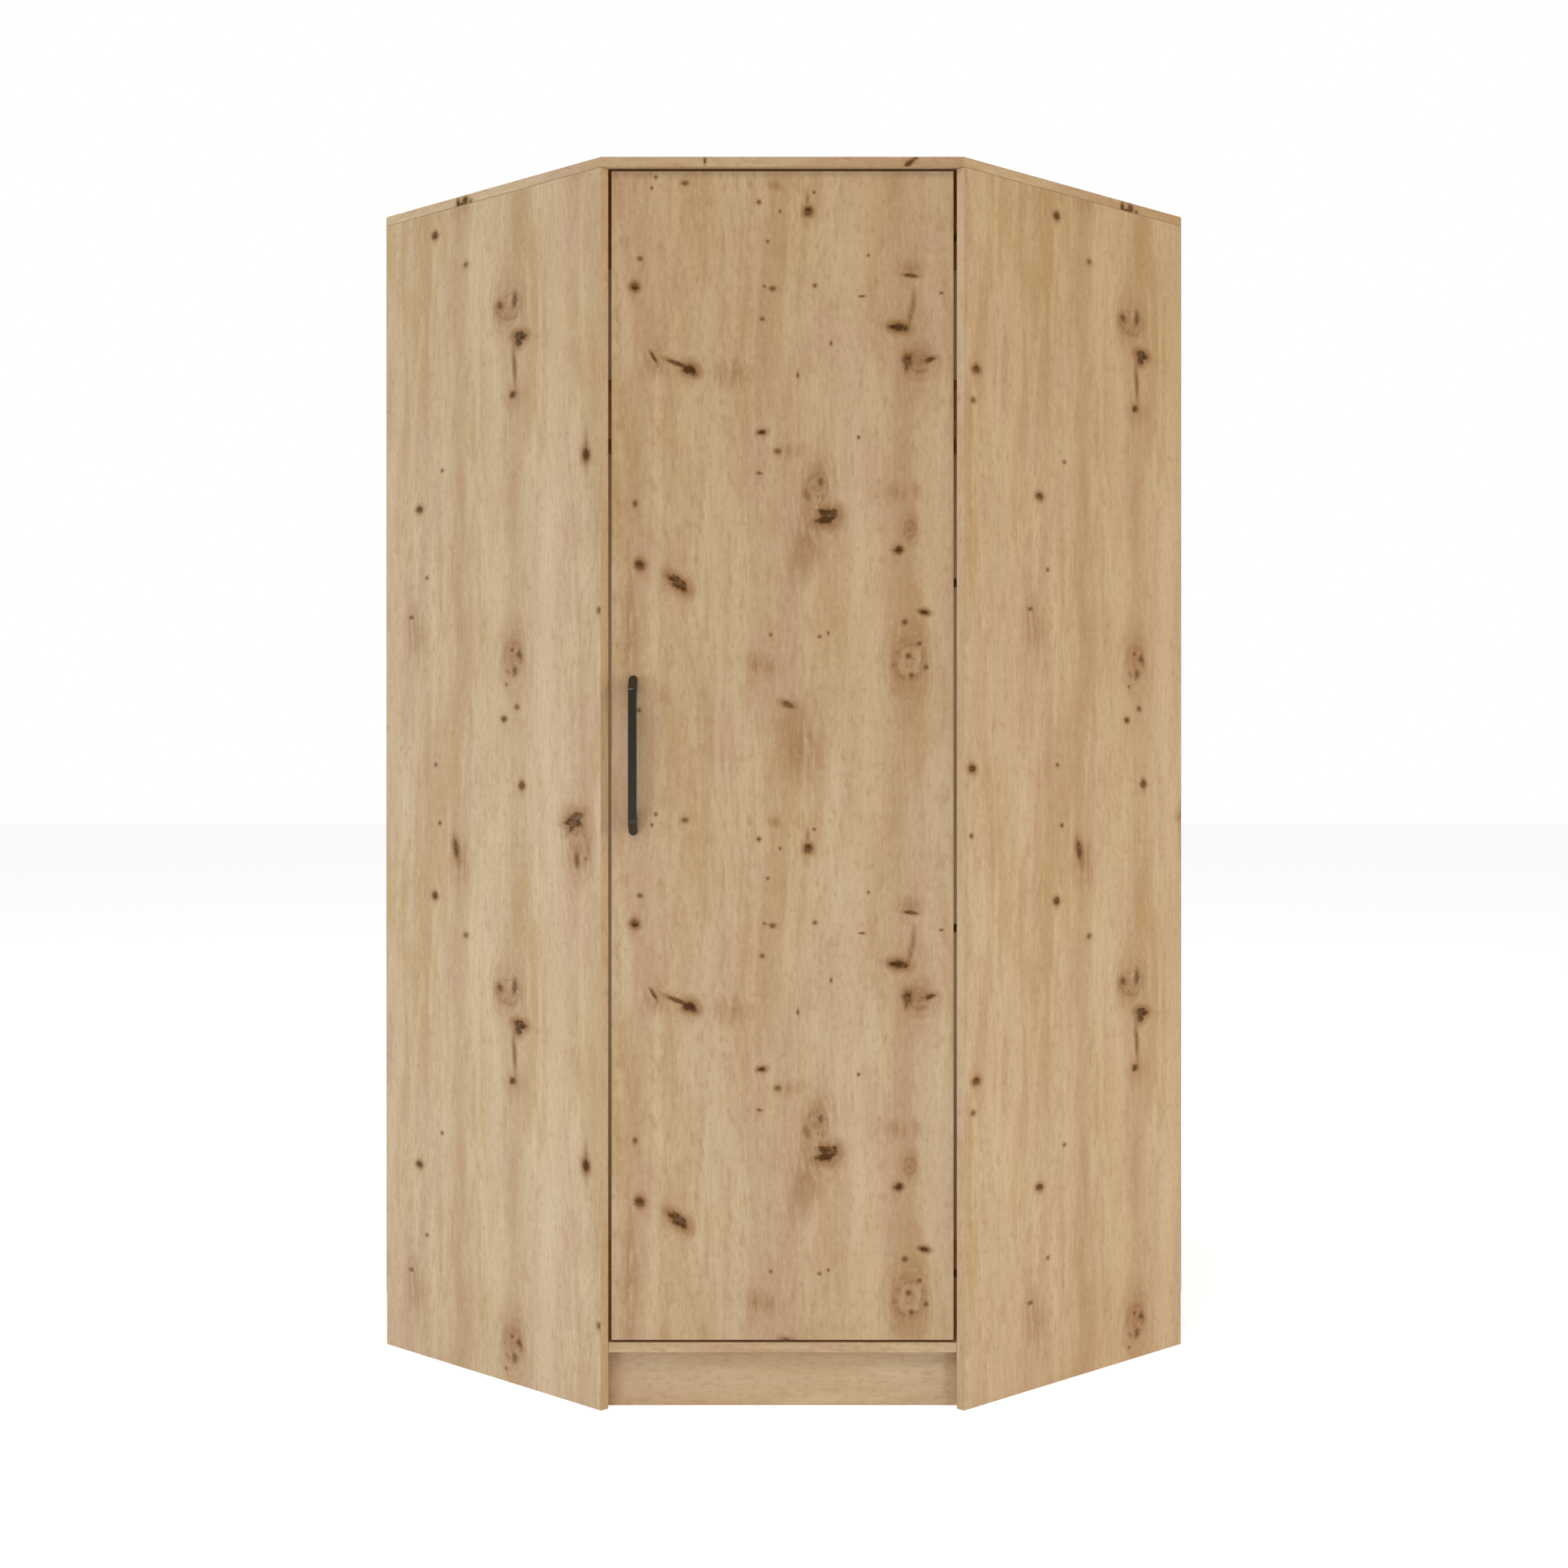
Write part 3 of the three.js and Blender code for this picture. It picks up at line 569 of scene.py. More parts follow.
@dataclass(frozen=True)
class KnotDrawing:
    """The drawing of one knot: a ragged heart, brown wood round it, rings, and fibres that bend past it.

    Lengths without mm are in the knot's half sizes, so that its outline runs about one from its middle.
    """

    ragged: float = 0.75
    outline: float = 0.85
    soft_mm: float = 3.2
    softest: float = 0.5
    spike_reach: float = 2.4
    spike_turns: float = 1.7
    ring_turns: float = 7.0
    ring_line: float = 0.95
    # How a part's outline is scaled across and along.
    halo_shape: tuple[float, float] = (1.0, 0.8)
    column_shape: tuple[float, float] = (0.5, 0.15)
    push_shape: tuple[float, float] = (1.0, 0.5)
    # How far from the middle, or from the ring's line, a part ends, and where it is full.
    rim_fade: tuple[float, float] = (2.1, 0.8)
    halo_fade: tuple[float, float] = (2.6, 0.2)
    column_fade: tuple[float, float] = (1.0, 0.1)
    speck_fade: tuple[float, float] = (1.25, 0.7)
    heart_fade: tuple[float, float] = (0.7, 0.35)
    ring_fade: tuple[float, float] = (2.6, 0.9)
    line_fade: tuple[float, float] = (0.24, 0.04)
    push_fade: tuple[float, float] = (2.6, 0.0)
    # Between which heights of a noise or a wave a part comes in, and how strong it gets.
    specks_in: tuple[float, float, float] = (0.62, 0.72, 0.6)
    heart_in: tuple[float, float, float] = (0.5, 0.66, 0.9)
    rings_in: tuple[float, float, float] = (0.25, 1.0, 0.4)
    line_in: tuple[float, float, float] = (0.38, 0.58, 1.0)

    def group(self) -> bpy.types.NodeTree:
        """Makes the node group that draws a knot.

        Its inputs are the place from the knot's middle in half sizes, with the knot's seed as third value;
        the form, which is half the width, the core and the halo; and the look: rings, spikes and column.

        Returns:
            The group, with an output for each way in which a knot shows.
        """
        tree = bpy.data.node_groups.new("oak_knot", "ShaderNodeTree")
        add = partial(add_node, tree)
        names = ("Place", "Form", "Look")
        for name in names:
            tree.interface.new_socket(name, in_out="INPUT", socket_type="NodeSocketVector")
        given = add("NodeGroupInput").outputs
        place, form, look = (given[name] for name in names)
        across, _, _ = add("ShaderNodeSeparateXYZ", {0: place}).outputs
        half_wide, core, halo = add("ShaderNodeSeparateXYZ", {0: form}).outputs
        rings, spikes, column = add("ShaderNodeSeparateXYZ", {0: look}).outputs
        flat = add("ShaderNodeVectorMath", {0: place, 1: (1.0, 1.0, 0.0)}, operation="MULTIPLY")
        length = self.ragged_length(add, place, flat)
        reach = self.spiked(add, place, *length, spikes)
        clouds = add("ShaderNodeTexNoise", {"Vector": place, "Scale": 2.6, "Detail": 2.0}).outputs
        firm = add("ShaderNodeMath", {0: core, 1: rings}, operation="MAXIMUM")
        results = {
            "Core": self.core(add, reach, clouds["Fac"], half_wide, core, rings),
            "Rim": self.fading(add, reach, *self.rim_fade, core),
            "Heart": self.heart(add, reach, clouds["Color"], spikes),
            "Halo": self.shaped(add, flat, self.halo_shape, self.halo_fade, halo),
            "Rings": self.rings(add, length[0], clouds["Fac"], rings),
            "Column": self.shaped(add, flat, self.column_shape, self.column_fade, column),
            "Push": self.push(add, flat, across, half_wide, firm),
        }
        for name in results:
            tree.interface.new_socket(name, in_out="OUTPUT", socket_type="NodeSocketFloat")
        add("NodeGroupOutput", results)
        return tree

    def ragged_length(self, add: Adder, place: Wire, flat: Wire) -> tuple[bpy.types.Node, bpy.types.Node]:
        """Measures each spot's distance from the middle, by the ragged outline, and its direction."""
        noise = add("ShaderNodeTexNoise", {"Vector": place, "Scale": 1.3, "Detail": 4.0, "Roughness": 0.6})
        both = {0: noise.outputs["Color"], 1: (0.5, 0.5, 0.5)}
        centred = add("ShaderNodeVectorMath", both, operation="SUBTRACT")
        ragged = (self.ragged, self.ragged, 0.0)
        moved = add("ShaderNodeVectorMath", {0: centred, 1: ragged, 2: flat}, operation="MULTIPLY_ADD")
        length = add("ShaderNodeVectorMath", {0: moved}, operation="LENGTH")
        return length, add("ShaderNodeVectorMath", {0: moved}, operation="NORMALIZE")

    def spiked(self, add: Adder, place: Wire, length: Wire, direction: Wire, spikes: Wire) -> bpy.types.Node:
        """Takes spikes, which run out in some directions, off the distance from the middle."""
        own = add("ShaderNodeVectorMath", {0: place, 1: (0.0, 0.0, 1.0)}, operation="MULTIPLY")
        turns = (self.spike_turns, self.spike_turns, 0.0)
        around = add("ShaderNodeVectorMath", {0: direction, 1: turns, 2: own}, operation="MULTIPLY_ADD")
        rays = add("ShaderNodeTexNoise", {"Vector": around, "Scale": 1.0, "Detail": 1.0})
        out = add("ShaderNodeMath", {0: rays, 1: 0.5}, operation="SUBTRACT")
        spike = add("ShaderNodeMath", {0: out, 1: spikes}, operation="MULTIPLY")
        return add("ShaderNodeMath", {0: spike, 1: -self.spike_reach, 2: length}, operation="MULTIPLY_ADD")

    def fading(self, add: Adder, reach: Wire, far: Wire, near: Wire, most: Wire) -> bpy.types.Node:
        """Fades from a strength near the middle to nothing far from it."""
        share = add("ShaderNodeMapRange", {0: reach, 1: far, 2: near}, **SMOOTH)
        return add("ShaderNodeMath", {0: share, 1: most}, operation="MULTIPLY")

    def shaped(self, add: Adder, flat: Wire, shape: tuple, fade: tuple, most: Wire) -> bpy.types.Node:
        """Draws a smooth spot that fades from the knot's middle.

        Args:
            add: adds a node to the group.
            flat: the place from the knot's middle.
            shape: how the spot is scaled across and along.
            fade: where it ends, and where it is full.
            most: how strong it is when full.

        Returns:
            How strong the spot is.
        """
        scaled = add("ShaderNodeVectorMath", {0: flat, 1: (*shape, 0.0)}, operation="MULTIPLY")
        length = add("ShaderNodeVectorMath", {0: scaled}, operation="LENGTH")
        return self.fading(add, length, *fade, most)

    def coming_in(self, add: Adder, height: Wire, bounds: tuple, **settings) -> bpy.types.Node:
        """Turns a noise or a wave to a strength that comes in between two heights."""
        low, high, most = bounds
        return add("ShaderNodeMapRange", {0: height, 1: low, 2: high, 4: most}, **settings)

    def core(
        self, add: Adder, reach: Wire, clouds: Wire, half_wide: Wire, core: Wire, rings: Wire
    ) -> bpy.types.Node:
        """Draws the dark heart, whose edge is as soft on every knot, and specks within a ringed knot.

        Args:
            add: adds a node to the group.
            reach: the distance from the middle, by the spiked outline.
            clouds: the noise that places the specks.
            half_wide: half the knot's width, which turns the softness from a length to a share.
            core: how dark the heart is.
            rings: how strongly the knot is ringed.

        Returns:
            How much of the dark colour shows.
        """
        soft = add("ShaderNodeMath", {0: self.soft_mm * MM, 1: half_wide}, operation="DIVIDE")
        width = add("ShaderNodeMath", {0: soft, 1: self.softest}, operation="MINIMUM")
        far = add("ShaderNodeMath", {0: width, 1: self.outline}, operation="ADD")
        near = add("ShaderNodeMath", {0: self.outline, 1: width}, operation="SUBTRACT")
        heart = self.fading(add, reach, far, near, core)
        specks = self.coming_in(add, clouds, self.specks_in)
        within = self.fading(add, reach, *self.speck_fade, specks)
        ringed = add("ShaderNodeMath", {0: within, 1: rings}, operation="MULTIPLY")
        return add("ShaderNodeMath", {0: heart, 1: ringed}, operation="MAXIMUM")

    def heart(self, add: Adder, reach: Wire, clouds: Wire, spikes: Wire) -> bpy.types.Node:
        """Draws the lighter wood that the core of a dark knot encloses."""
        red, _, _ = add("ShaderNodeSeparateColor", {0: clouds}).outputs
        patch = self.coming_in(add, red, self.heart_in)
        inside = self.fading(add, reach, *self.heart_fade, patch)
        return add("ShaderNodeMath", {0: inside, 1: spikes}, operation="MULTIPLY")

    def rings(self, add: Adder, length: Wire, clouds: Wire, rings: Wire) -> bpy.types.Node:
        """Draws thin growth rings, broken here and there, and a stronger one along the knot's outline.

        Args:
            add: adds a node to the group.
            length: the distance from the middle, by the ragged outline.
            clouds: the noise that breaks the strong ring.
            rings: how strongly the knot is ringed.

        Returns:
            How much of the rings' colour shows.
        """
        wave = add("ShaderNodeMath", {0: length, 1: self.ring_turns}, operation="MULTIPLY")
        waves = add("ShaderNodeMath", {0: wave}, operation="SINE")
        lines = self.coming_in(add, waves, self.rings_in, **SMOOTH)
        faded = self.fading(add, length, *self.ring_fade, lines)
        off_rim = add("ShaderNodeMath", {0: length, 1: self.ring_line}, operation="SUBTRACT")
        from_rim = add("ShaderNodeMath", {0: off_rim}, operation="ABSOLUTE")
        broken = self.coming_in(add, clouds, self.line_in)
        rim = self.fading(add, from_rim, *self.line_fade, broken)
        both = add("ShaderNodeMath", {0: faded, 1: rim}, operation="MAXIMUM")
        return add("ShaderNodeMath", {0: both, 1: rings}, operation="MULTIPLY")

    def push(self, add: Adder, flat: Wire, across: Wire, half_wide: Wire, firm: Wire) -> bpy.types.Node:
        """Says how far the knot pushes the fibres aside, in metres.

        Args:
            add: adds a node to the group.
            flat: the place from the knot's middle.
            across: the same, across the grain only.
            half_wide: half the knot's width.
            firm: how firm the knot is.

        Returns:
            The push.
        """
        full = add("ShaderNodeMath", {0: across, 1: half_wide}, operation="MULTIPLY")
        near = self.shaped(add, flat, self.push_shape, self.push_fade, full)
        return add("ShaderNodeMath", {0: near, 1: firm}, operation="MULTIPLY")


@dataclass(frozen=True)
class OakLaminate:
    """Chipboard faced and edged with melamine paper that is printed as knotty oak.

    The paper is matt with a shallow pressed pore, so the eye gets soft columns of beige, pinkish and tan
    wood, faint fine fibres, arched rings and dark knots with brown wood round them, and hardly any shine.
    """

    base: str = "CFAA82"
    # Soft columns and patches of the wood's own tones, and the streaks within them.
    layers: tuple[GrainLayer, ...] = (
        GrainLayer("C99D7B", 46, 240, 0.42, 0.64, 0.8),
        GrainLayer("BF945F", 70, 400, 0.46, 0.66, 0.6, 2.0),
        GrainLayer("DAB88D", 24, 210, 0.48, 0.68, 0.5),
        GrainLayer("BA8D60", 9, 80, 0.48, 0.72, 0.32, 2.0),
        GrainLayer("DBB893", 6, 64, 0.54, 0.76, 0.28, 2.0),
        GrainLayer("B58A60", 18, 34, 0.54, 0.74, 0.36, 2.0),
    )
    # Short mottles, and over them the fibres. Real fibres and pores are finer than the picture can show, so
    # these are drawn about twice as coarse.
    fibres: tuple[GrainLayer, ...] = (
        GrainLayer("A97E50", 7, 15, 0.50, 0.74, 0.26, 2.0),
        GrainLayer("E0C297", 6, 11, 0.52, 0.76, 0.2, 2.0),
        GrainLayer("A67B51", 2.8, 50, 0.50, 0.80, 0.19, 2.0),
        GrainLayer("E1C19D", 2.4, 36, 0.55, 0.80, 0.18, 1.0),
        GrainLayer("9B7147", 2.0, 15, 0.62, 0.80, 0.18, 0.0),
    )
    # The brown wood round knots shows in streaks, and their dark hearts have paler flecks.
    halo: GrainLayer = GrainLayer("9A6738", 8, 60, 0.3, 0.62, 1.0, 2.0)
    fleck: GrainLayer = GrainLayer("9A7350", 4, 9, 0.46, 0.62, 0.6, 2.0)
    halo_most: float = 0.8
    fleck_most: float = 0.6
    # Each tint's colour, and how much of it shows at most.
    brown: tuple[str, float] = ("B38559", 0.5)
    pale: tuple[str, float] = ("D9B58D", 0.65)
    figure_ring: tuple[str, float] = ("95673D", 1.0)
    column: tuple[str, float] = ("BB8B62", 0.5)
    knot_ring: tuple[str, float] = ("895633", 0.45)
    rim: tuple[str, float] = ("8C5722", 0.55)
    core: tuple[str, float] = ("4D2A08", 0.98)
    heart: tuple[str, float] = ("946A4B", 0.8)
    roughness: float = 0.6
    shine: float = 0.1
    figure_mm: tuple[float, float] = (130, 620)
    figure_lines: float = 30
    figure_most: float = 0.09
    pore_strength: float = 0.1
    pore_mm: float = 0.2

    def knots(self, add: Adder) -> dict[str, Wire]:
        """Draws the three knots nearest to each spot and joins them.

        Args:
            add: adds a node to the material.

        Returns:
            What the knots give together: each strength, and the push.
        """
        group = KnotDrawing().group()
        joined = {}
        for name in NEAR_KNOTS:
            place, form, look = (
                add("ShaderNodeAttribute", attribute_name=name + ending).outputs["Vector"]
                for ending in ("", FORM_ENDING, LOOK_ENDING)
            )
            knot = add("ShaderNodeGroup", node_tree=group)
            feed(knot, {"Place": place, "Form": form, "Look": look})
            for output in knot.outputs:
                if output.name not in joined:
                    joined[output.name] = output
                    continue
                both = {0: joined[output.name], 1: output}
                operation = "ADD" if output.name == "Push" else "MAXIMUM"
                joined[output.name] = add("ShaderNodeMath", both, operation=operation)
        return joined

    def figure(self, add: Adder, place: Wire) -> bpy.types.Node:
        """Draws the faint arched rings of sawn oak: the contours of a long noise, shown here and there."""
        noise = long_noise(add, place, *self.figure_mm, 1.0)
        height = add("ShaderNodeMath", {0: noise, 1: self.figure_lines * math.tau}, operation="MULTIPLY")
        waves = add("ShaderNodeMath", {0: height}, operation="SINE")
        lines = add("ShaderNodeMapRange", {0: waves, 1: 0.3, 2: 1.0}, **SMOOTH)
        where = add("ShaderNodeMapRange", {0: noise, 1: 0.5, 2: 0.62, 4: self.figure_most}, **SMOOTH)
        return add("ShaderNodeMath", {0: lines, 1: where}, operation="MULTIPLY")

    def material(self) -> bpy.types.Material:
        """Builds the oak finish from the grain, tone and knot attributes of each board."""
        material, add, shader = new_material("oak_laminate")
        knots = self.knots(add)
        grain = add("ShaderNodeAttribute", attribute_name=GRAIN).outputs["Vector"]
        aside = add("ShaderNodeCombineXYZ", {"X": knots["Push"]})
        place = add("ShaderNodeVectorMath", {0: grain, 1: aside}, operation="SUBTRACT")
        tone = add("ShaderNodeAttribute", attribute_name=TONE).outputs["Vector"]
        brown, pale, _ = add("ShaderNodeSeparateXYZ", {0: tone}).outputs
        streaks = self.halo.share(add, place)
        halo = add("ShaderNodeMath", {0: knots["Halo"], 1: streaks}, operation="MULTIPLY")
        in_core = self.fleck.share(add, place)
        flecks = add("ShaderNodeMath", {0: knots["Core"], 1: in_core}, operation="MULTIPLY")
        colour = linear(self.base)
        for layer in self.layers:
            colour = layer.lay(add, place, colour)
        tints = (
            (brown, *self.brown),
            (pale, *self.pale),
            (self.figure(add, place), *self.figure_ring),
            (knots["Column"], *self.column),
            (halo, self.halo.colour, self.halo_most),
        )
        colour = self.tinted(add, colour, tints)
        for layer in self.fibres:
            colour = layer.lay(add, place, colour)
        marks = (
            (knots["Rings"], *self.knot_ring),
            (knots["Rim"], *self.rim),
            (knots["Core"], *self.core),
            (flecks, self.fleck.colour, self.fleck_most),
            (knots["Heart"], *self.heart),
        )
        colour = self.tinted(add, colour, marks)
        feed(shader, {"Base Color": colour, "Roughness": self.roughness, "Specular IOR Level": self.shine})
        # The pores are pressed into the paper: shallow, short and narrow dents along the grain.
        pore = self.fibres[-1]
        pores = long_noise(add, place, pore.across_mm, pore.along_mm, 1.0)
        dents = {"Height": pores, "Strength": self.pore_strength, "Distance": -self.pore_mm * MM}
        feed(shader, {"Normal": add("ShaderNodeBump", dents)})
        return material

    def tinted(self, add: Adder, below: Wire, tints: tuple[tuple[Wire, str, float], ...]) -> Wire:
        """Tints a colour with others, one after another.

        Args:
            add: adds a node to the material.
            below: the colour so far.
            tints: where each shows, its colour, and how much of it shows at most.

        Returns:
            The tinted colour.
        """
        for share, over, most in tints:
            part = add("ShaderNodeMath", {0: share, 1: most}, operation="MULTIPLY")
            below = add("ShaderNodeMix", {0: part, MIX_FIRST: below, MIX_SECOND: linear(over)}, **COLOURS)
        return below


@dataclass(frozen=True)
class RawHardboard:
    """Hardboard as pressed: brown fibres in all directions, drawn coarser here than real ones."""

    brown: str = "80593A"
    dark: str = "5E3F27"
    light: str = "9C7652"
    fibre_mm: float = 3.5
    cloud_mm: float = 60
    roughness: float = 0.85
    relief: float = 0.25
    relief_mm: float = 0.3

    def material(self) -> bpy.types.Material:
        """Builds the brown rear face: soft clouds with short fibres over them."""
        material, add, shader = new_material("raw_hardboard")
        place = add("ShaderNodeTexCoord").outputs["Object"]
        clouds = add("ShaderNodeTexNoise", {"Vector": place, "Scale": 1 / (self.cloud_mm * MM)})
        fine = {"Vector": place, "Scale": 1 / (self.fibre_mm * MM), "Detail": 4.0, "Distortion": 1.5}
        fibres = add("ShaderNodeTexNoise", fine)
        ramp = add("ShaderNodeValToRGB", {0: fibres})
        for stop, colour, position in zip(ramp.color_ramp.elements, (self.dark, self.light), (0.3, 0.72)):
            stop.color = linear(colour)
            stop.position = position
        mixed = add("ShaderNodeMix", {0: clouds, MIX_FIRST: ramp, MIX_SECOND: linear(self.brown)}, **COLOURS)
        bump = {"Height": fibres, "Strength": self.relief, "Distance": self.relief_mm * MM}
        normal = add("ShaderNodeBump", bump)
        feed(shader, {"Base Color": mixed, "Roughness": self.roughness, "Normal": normal})
        return material


@dataclass(frozen=True)
class Plain:
    """An even finish with a fine texture and slight clouds: lacquer, plastic, powder or metal."""

    name: str
    colour: str
    second: str
    roughness: float
    metallic: float = 0.0
    cloud_mm: float = 40
    grain_mm: float = 0.8
    relief: float = 0.05
    relief_mm: float = 0.1
    uneven: float = 0.08
    shine: float = 0.5

    def material(self) -> bpy.types.Material:
        """Builds the finish: two near colours in soft clouds, uneven roughness and a fine relief."""
        material, add, shader = new_material(self.name)
        place = add("ShaderNodeTexCoord").outputs["Object"]
        soft = {"Vector": place, "Scale": 1 / (self.cloud_mm * MM), "Detail": 3.0}
        clouds = add("ShaderNodeTexNoise", soft)
        first, second = linear(self.colour), linear(self.second)
        mixed = add("ShaderNodeMix", {0: clouds, MIX_FIRST: first, MIX_SECOND: second}, **COLOURS)
        low, high = self.roughness - self.uneven, self.roughness + self.uneven
        rough = add("ShaderNodeMapRange", {0: clouds, 3: low, 4: high})
        grit = add("ShaderNodeTexNoise", {"Vector": place, "Scale": 1 / (self.grain_mm * MM)})
        bump = {"Height": grit, "Strength": self.relief, "Distance": self.relief_mm * MM}
        look = {
            "Base Color": mixed,
            "Roughness": rough,
            "Metallic": self.metallic,
            "Specular IOR Level": self.shine,
            "Normal": add("ShaderNodeBump", bump),
        }
        feed(shader, look)
        return material


class Finishes:
    """Every finish of the wardrobe, made once."""

    def __init__(self) -> None:
        """Builds the materials."""
        self.by_slot = {Slot.OAK: OakLaminate().material(), Slot.HARDBOARD: RawHardboard().material()}
        # White lacquer on hardboard is satin and slightly warm.
        lacquer = Plain("white_lacquered_hardboard", "E6E3DC", "E1DDD5", 0.45, cloud_mm=120)
        self.white_coat = lacquer.material()
        plain = {
            # Extruded polystyrene is white with a soft shine.
            Slot.PLASTIC: Plain("extruded_white_plastic", "E4E2DC", "DEDBD4", 0.4, relief=0.02),
            # Powder coat on die-cast zinc is a near black with a fine orange peel.
            Slot.BLACK: Plain(
                "black_powder_coat",
                "30281A",
                "373021",
                0.2,
                grain_mm=0.7,
                relief=0.04,
                uneven=0.03,
                shine=0.35,
            ),
            # Chrome on a steel tube is a mirror with a cold tint.
            Slot.CHROME: Plain("chrome_plate", "D8DADC", "D2D4D6", 0.12, 1.0, relief=0.01, uneven=0.03),
            # Die-cast zinc is a dull grey with a grainy skin.
            Slot.ZINC: Plain("die_cast_zinc", "A4A6A5", "929493", 0.5, 1.0, relief=0.2),
            # Nickel on pressed steel is a warm silver, half shiny.
            Slot.NICKEL: Plain("nickel_plated_steel", "BDBAB3", "B2AFA8", 0.3, 1.0, relief=0.04),
        }
        for slot, finish in plain.items():
            self.by_slot[slot] = finish.material()


def mesh_object(name: str, mesh: bpy.types.Mesh) -> bpy.types.Object:
    """Puts a mesh in the scene as an object at the origin."""
    made = bpy.data.objects.new(name, mesh)
    bpy.context.scene.collection.objects.link(made)
    return made


def closed(shape: bmesh.types.BMesh, name: str, finish: bpy.types.Material) -> bpy.types.Object:
    """Turns a worked shape into an object.

    Args:
        shape: the shape, which is freed.
        name: the piece's name.
        finish: its material.

    Returns:
        The new object.
    """
    mesh = bpy.data.meshes.new(name)
    shape.to_mesh(mesh)
    shape.free()
    mesh.materials.append(finish)
    return mesh_object(name, mesh)


def smoothed(piece: bpy.types.Object, sharp_angle: float) -> None:
    """Shades a piece smooth, but for its edges sharper than an angle in degrees."""
    piece.data.shade_smooth()
    piece.data.set_sharp_from_angle(angle=math.radians(sharp_angle))


def finished(
    piece: bpy.types.Object, body: Body, nodes: tuple[str, ...] = ()
) -> bpy.types.Object:
    """Says what a finished piece rides on and stands for.

    Args:
        piece: the piece, with its final mesh.
        body: the body that it moves with.
        nodes: the solids that it stands for.

    Returns:
        The piece.
    """
    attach(piece, body.value)
    if nodes:
        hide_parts(*nodes)
    LOG.info("%s: %d faces, rides on %s", piece.name, len(piece.data.polygons), body.value)
    return piece


def solid_copy(node: str) -> bmesh.types.BMesh:
    """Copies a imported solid's mesh, with its triangles merged into flat faces."""
    shape = bmesh.new()
    shape.from_mesh(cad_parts[node].data)
    bmesh.ops.remove_doubles(shape, verts=shape.verts, dist=MERGE_MM * MM)
    bmesh.ops.dissolve_limit(
        shape, angle_limit=math.radians(FLAT_ANGLE), verts=shape.verts, edges=shape.edges
    )
    return shape


def eased(shape: bmesh.types.BMesh, offset_mm: float, longer_than_mm: float) -> None:
    """Eases the sharp outer edges of a shape.

    Args:
        shape: the shape, which is changed.
        offset_mm: how far the round starts from the edge.
        longer_than_mm: shorter edges stay sharp.
    """
    sharp = [
        edge
        for edge in shape.edges
        if len(edge.link_faces) == 2
        and edge.is_convex
        and edge.calc_length() > longer_than_mm * MM
        and edge.calc_face_angle() > math.radians(SHARP_ANGLE)
    ]
    bmesh.ops.bevel(
        shape,
        geom=sharp,
        offset=offset_mm * MM,
        offset_type="OFFSET",
        segments=2,
        profile=0.5,
        affect="EDGES",
        clamp_overlap=True,
    )


def numbers(items: bpy.types.bpy_prop_collection, name: str, count: int, kind: type = float) -> np.ndarray:
    """Reads one property of all a mesh's parts.

    Args:
        items: the parts.
        name: the property.
        count: how many numbers it has.
        kind: what numbers they are.

    Returns:
        A row for each part.
    """
    values = np.zeros(len(items) * count, kind)
    items.foreach_get(name, values)
    return values.reshape(-1, count)


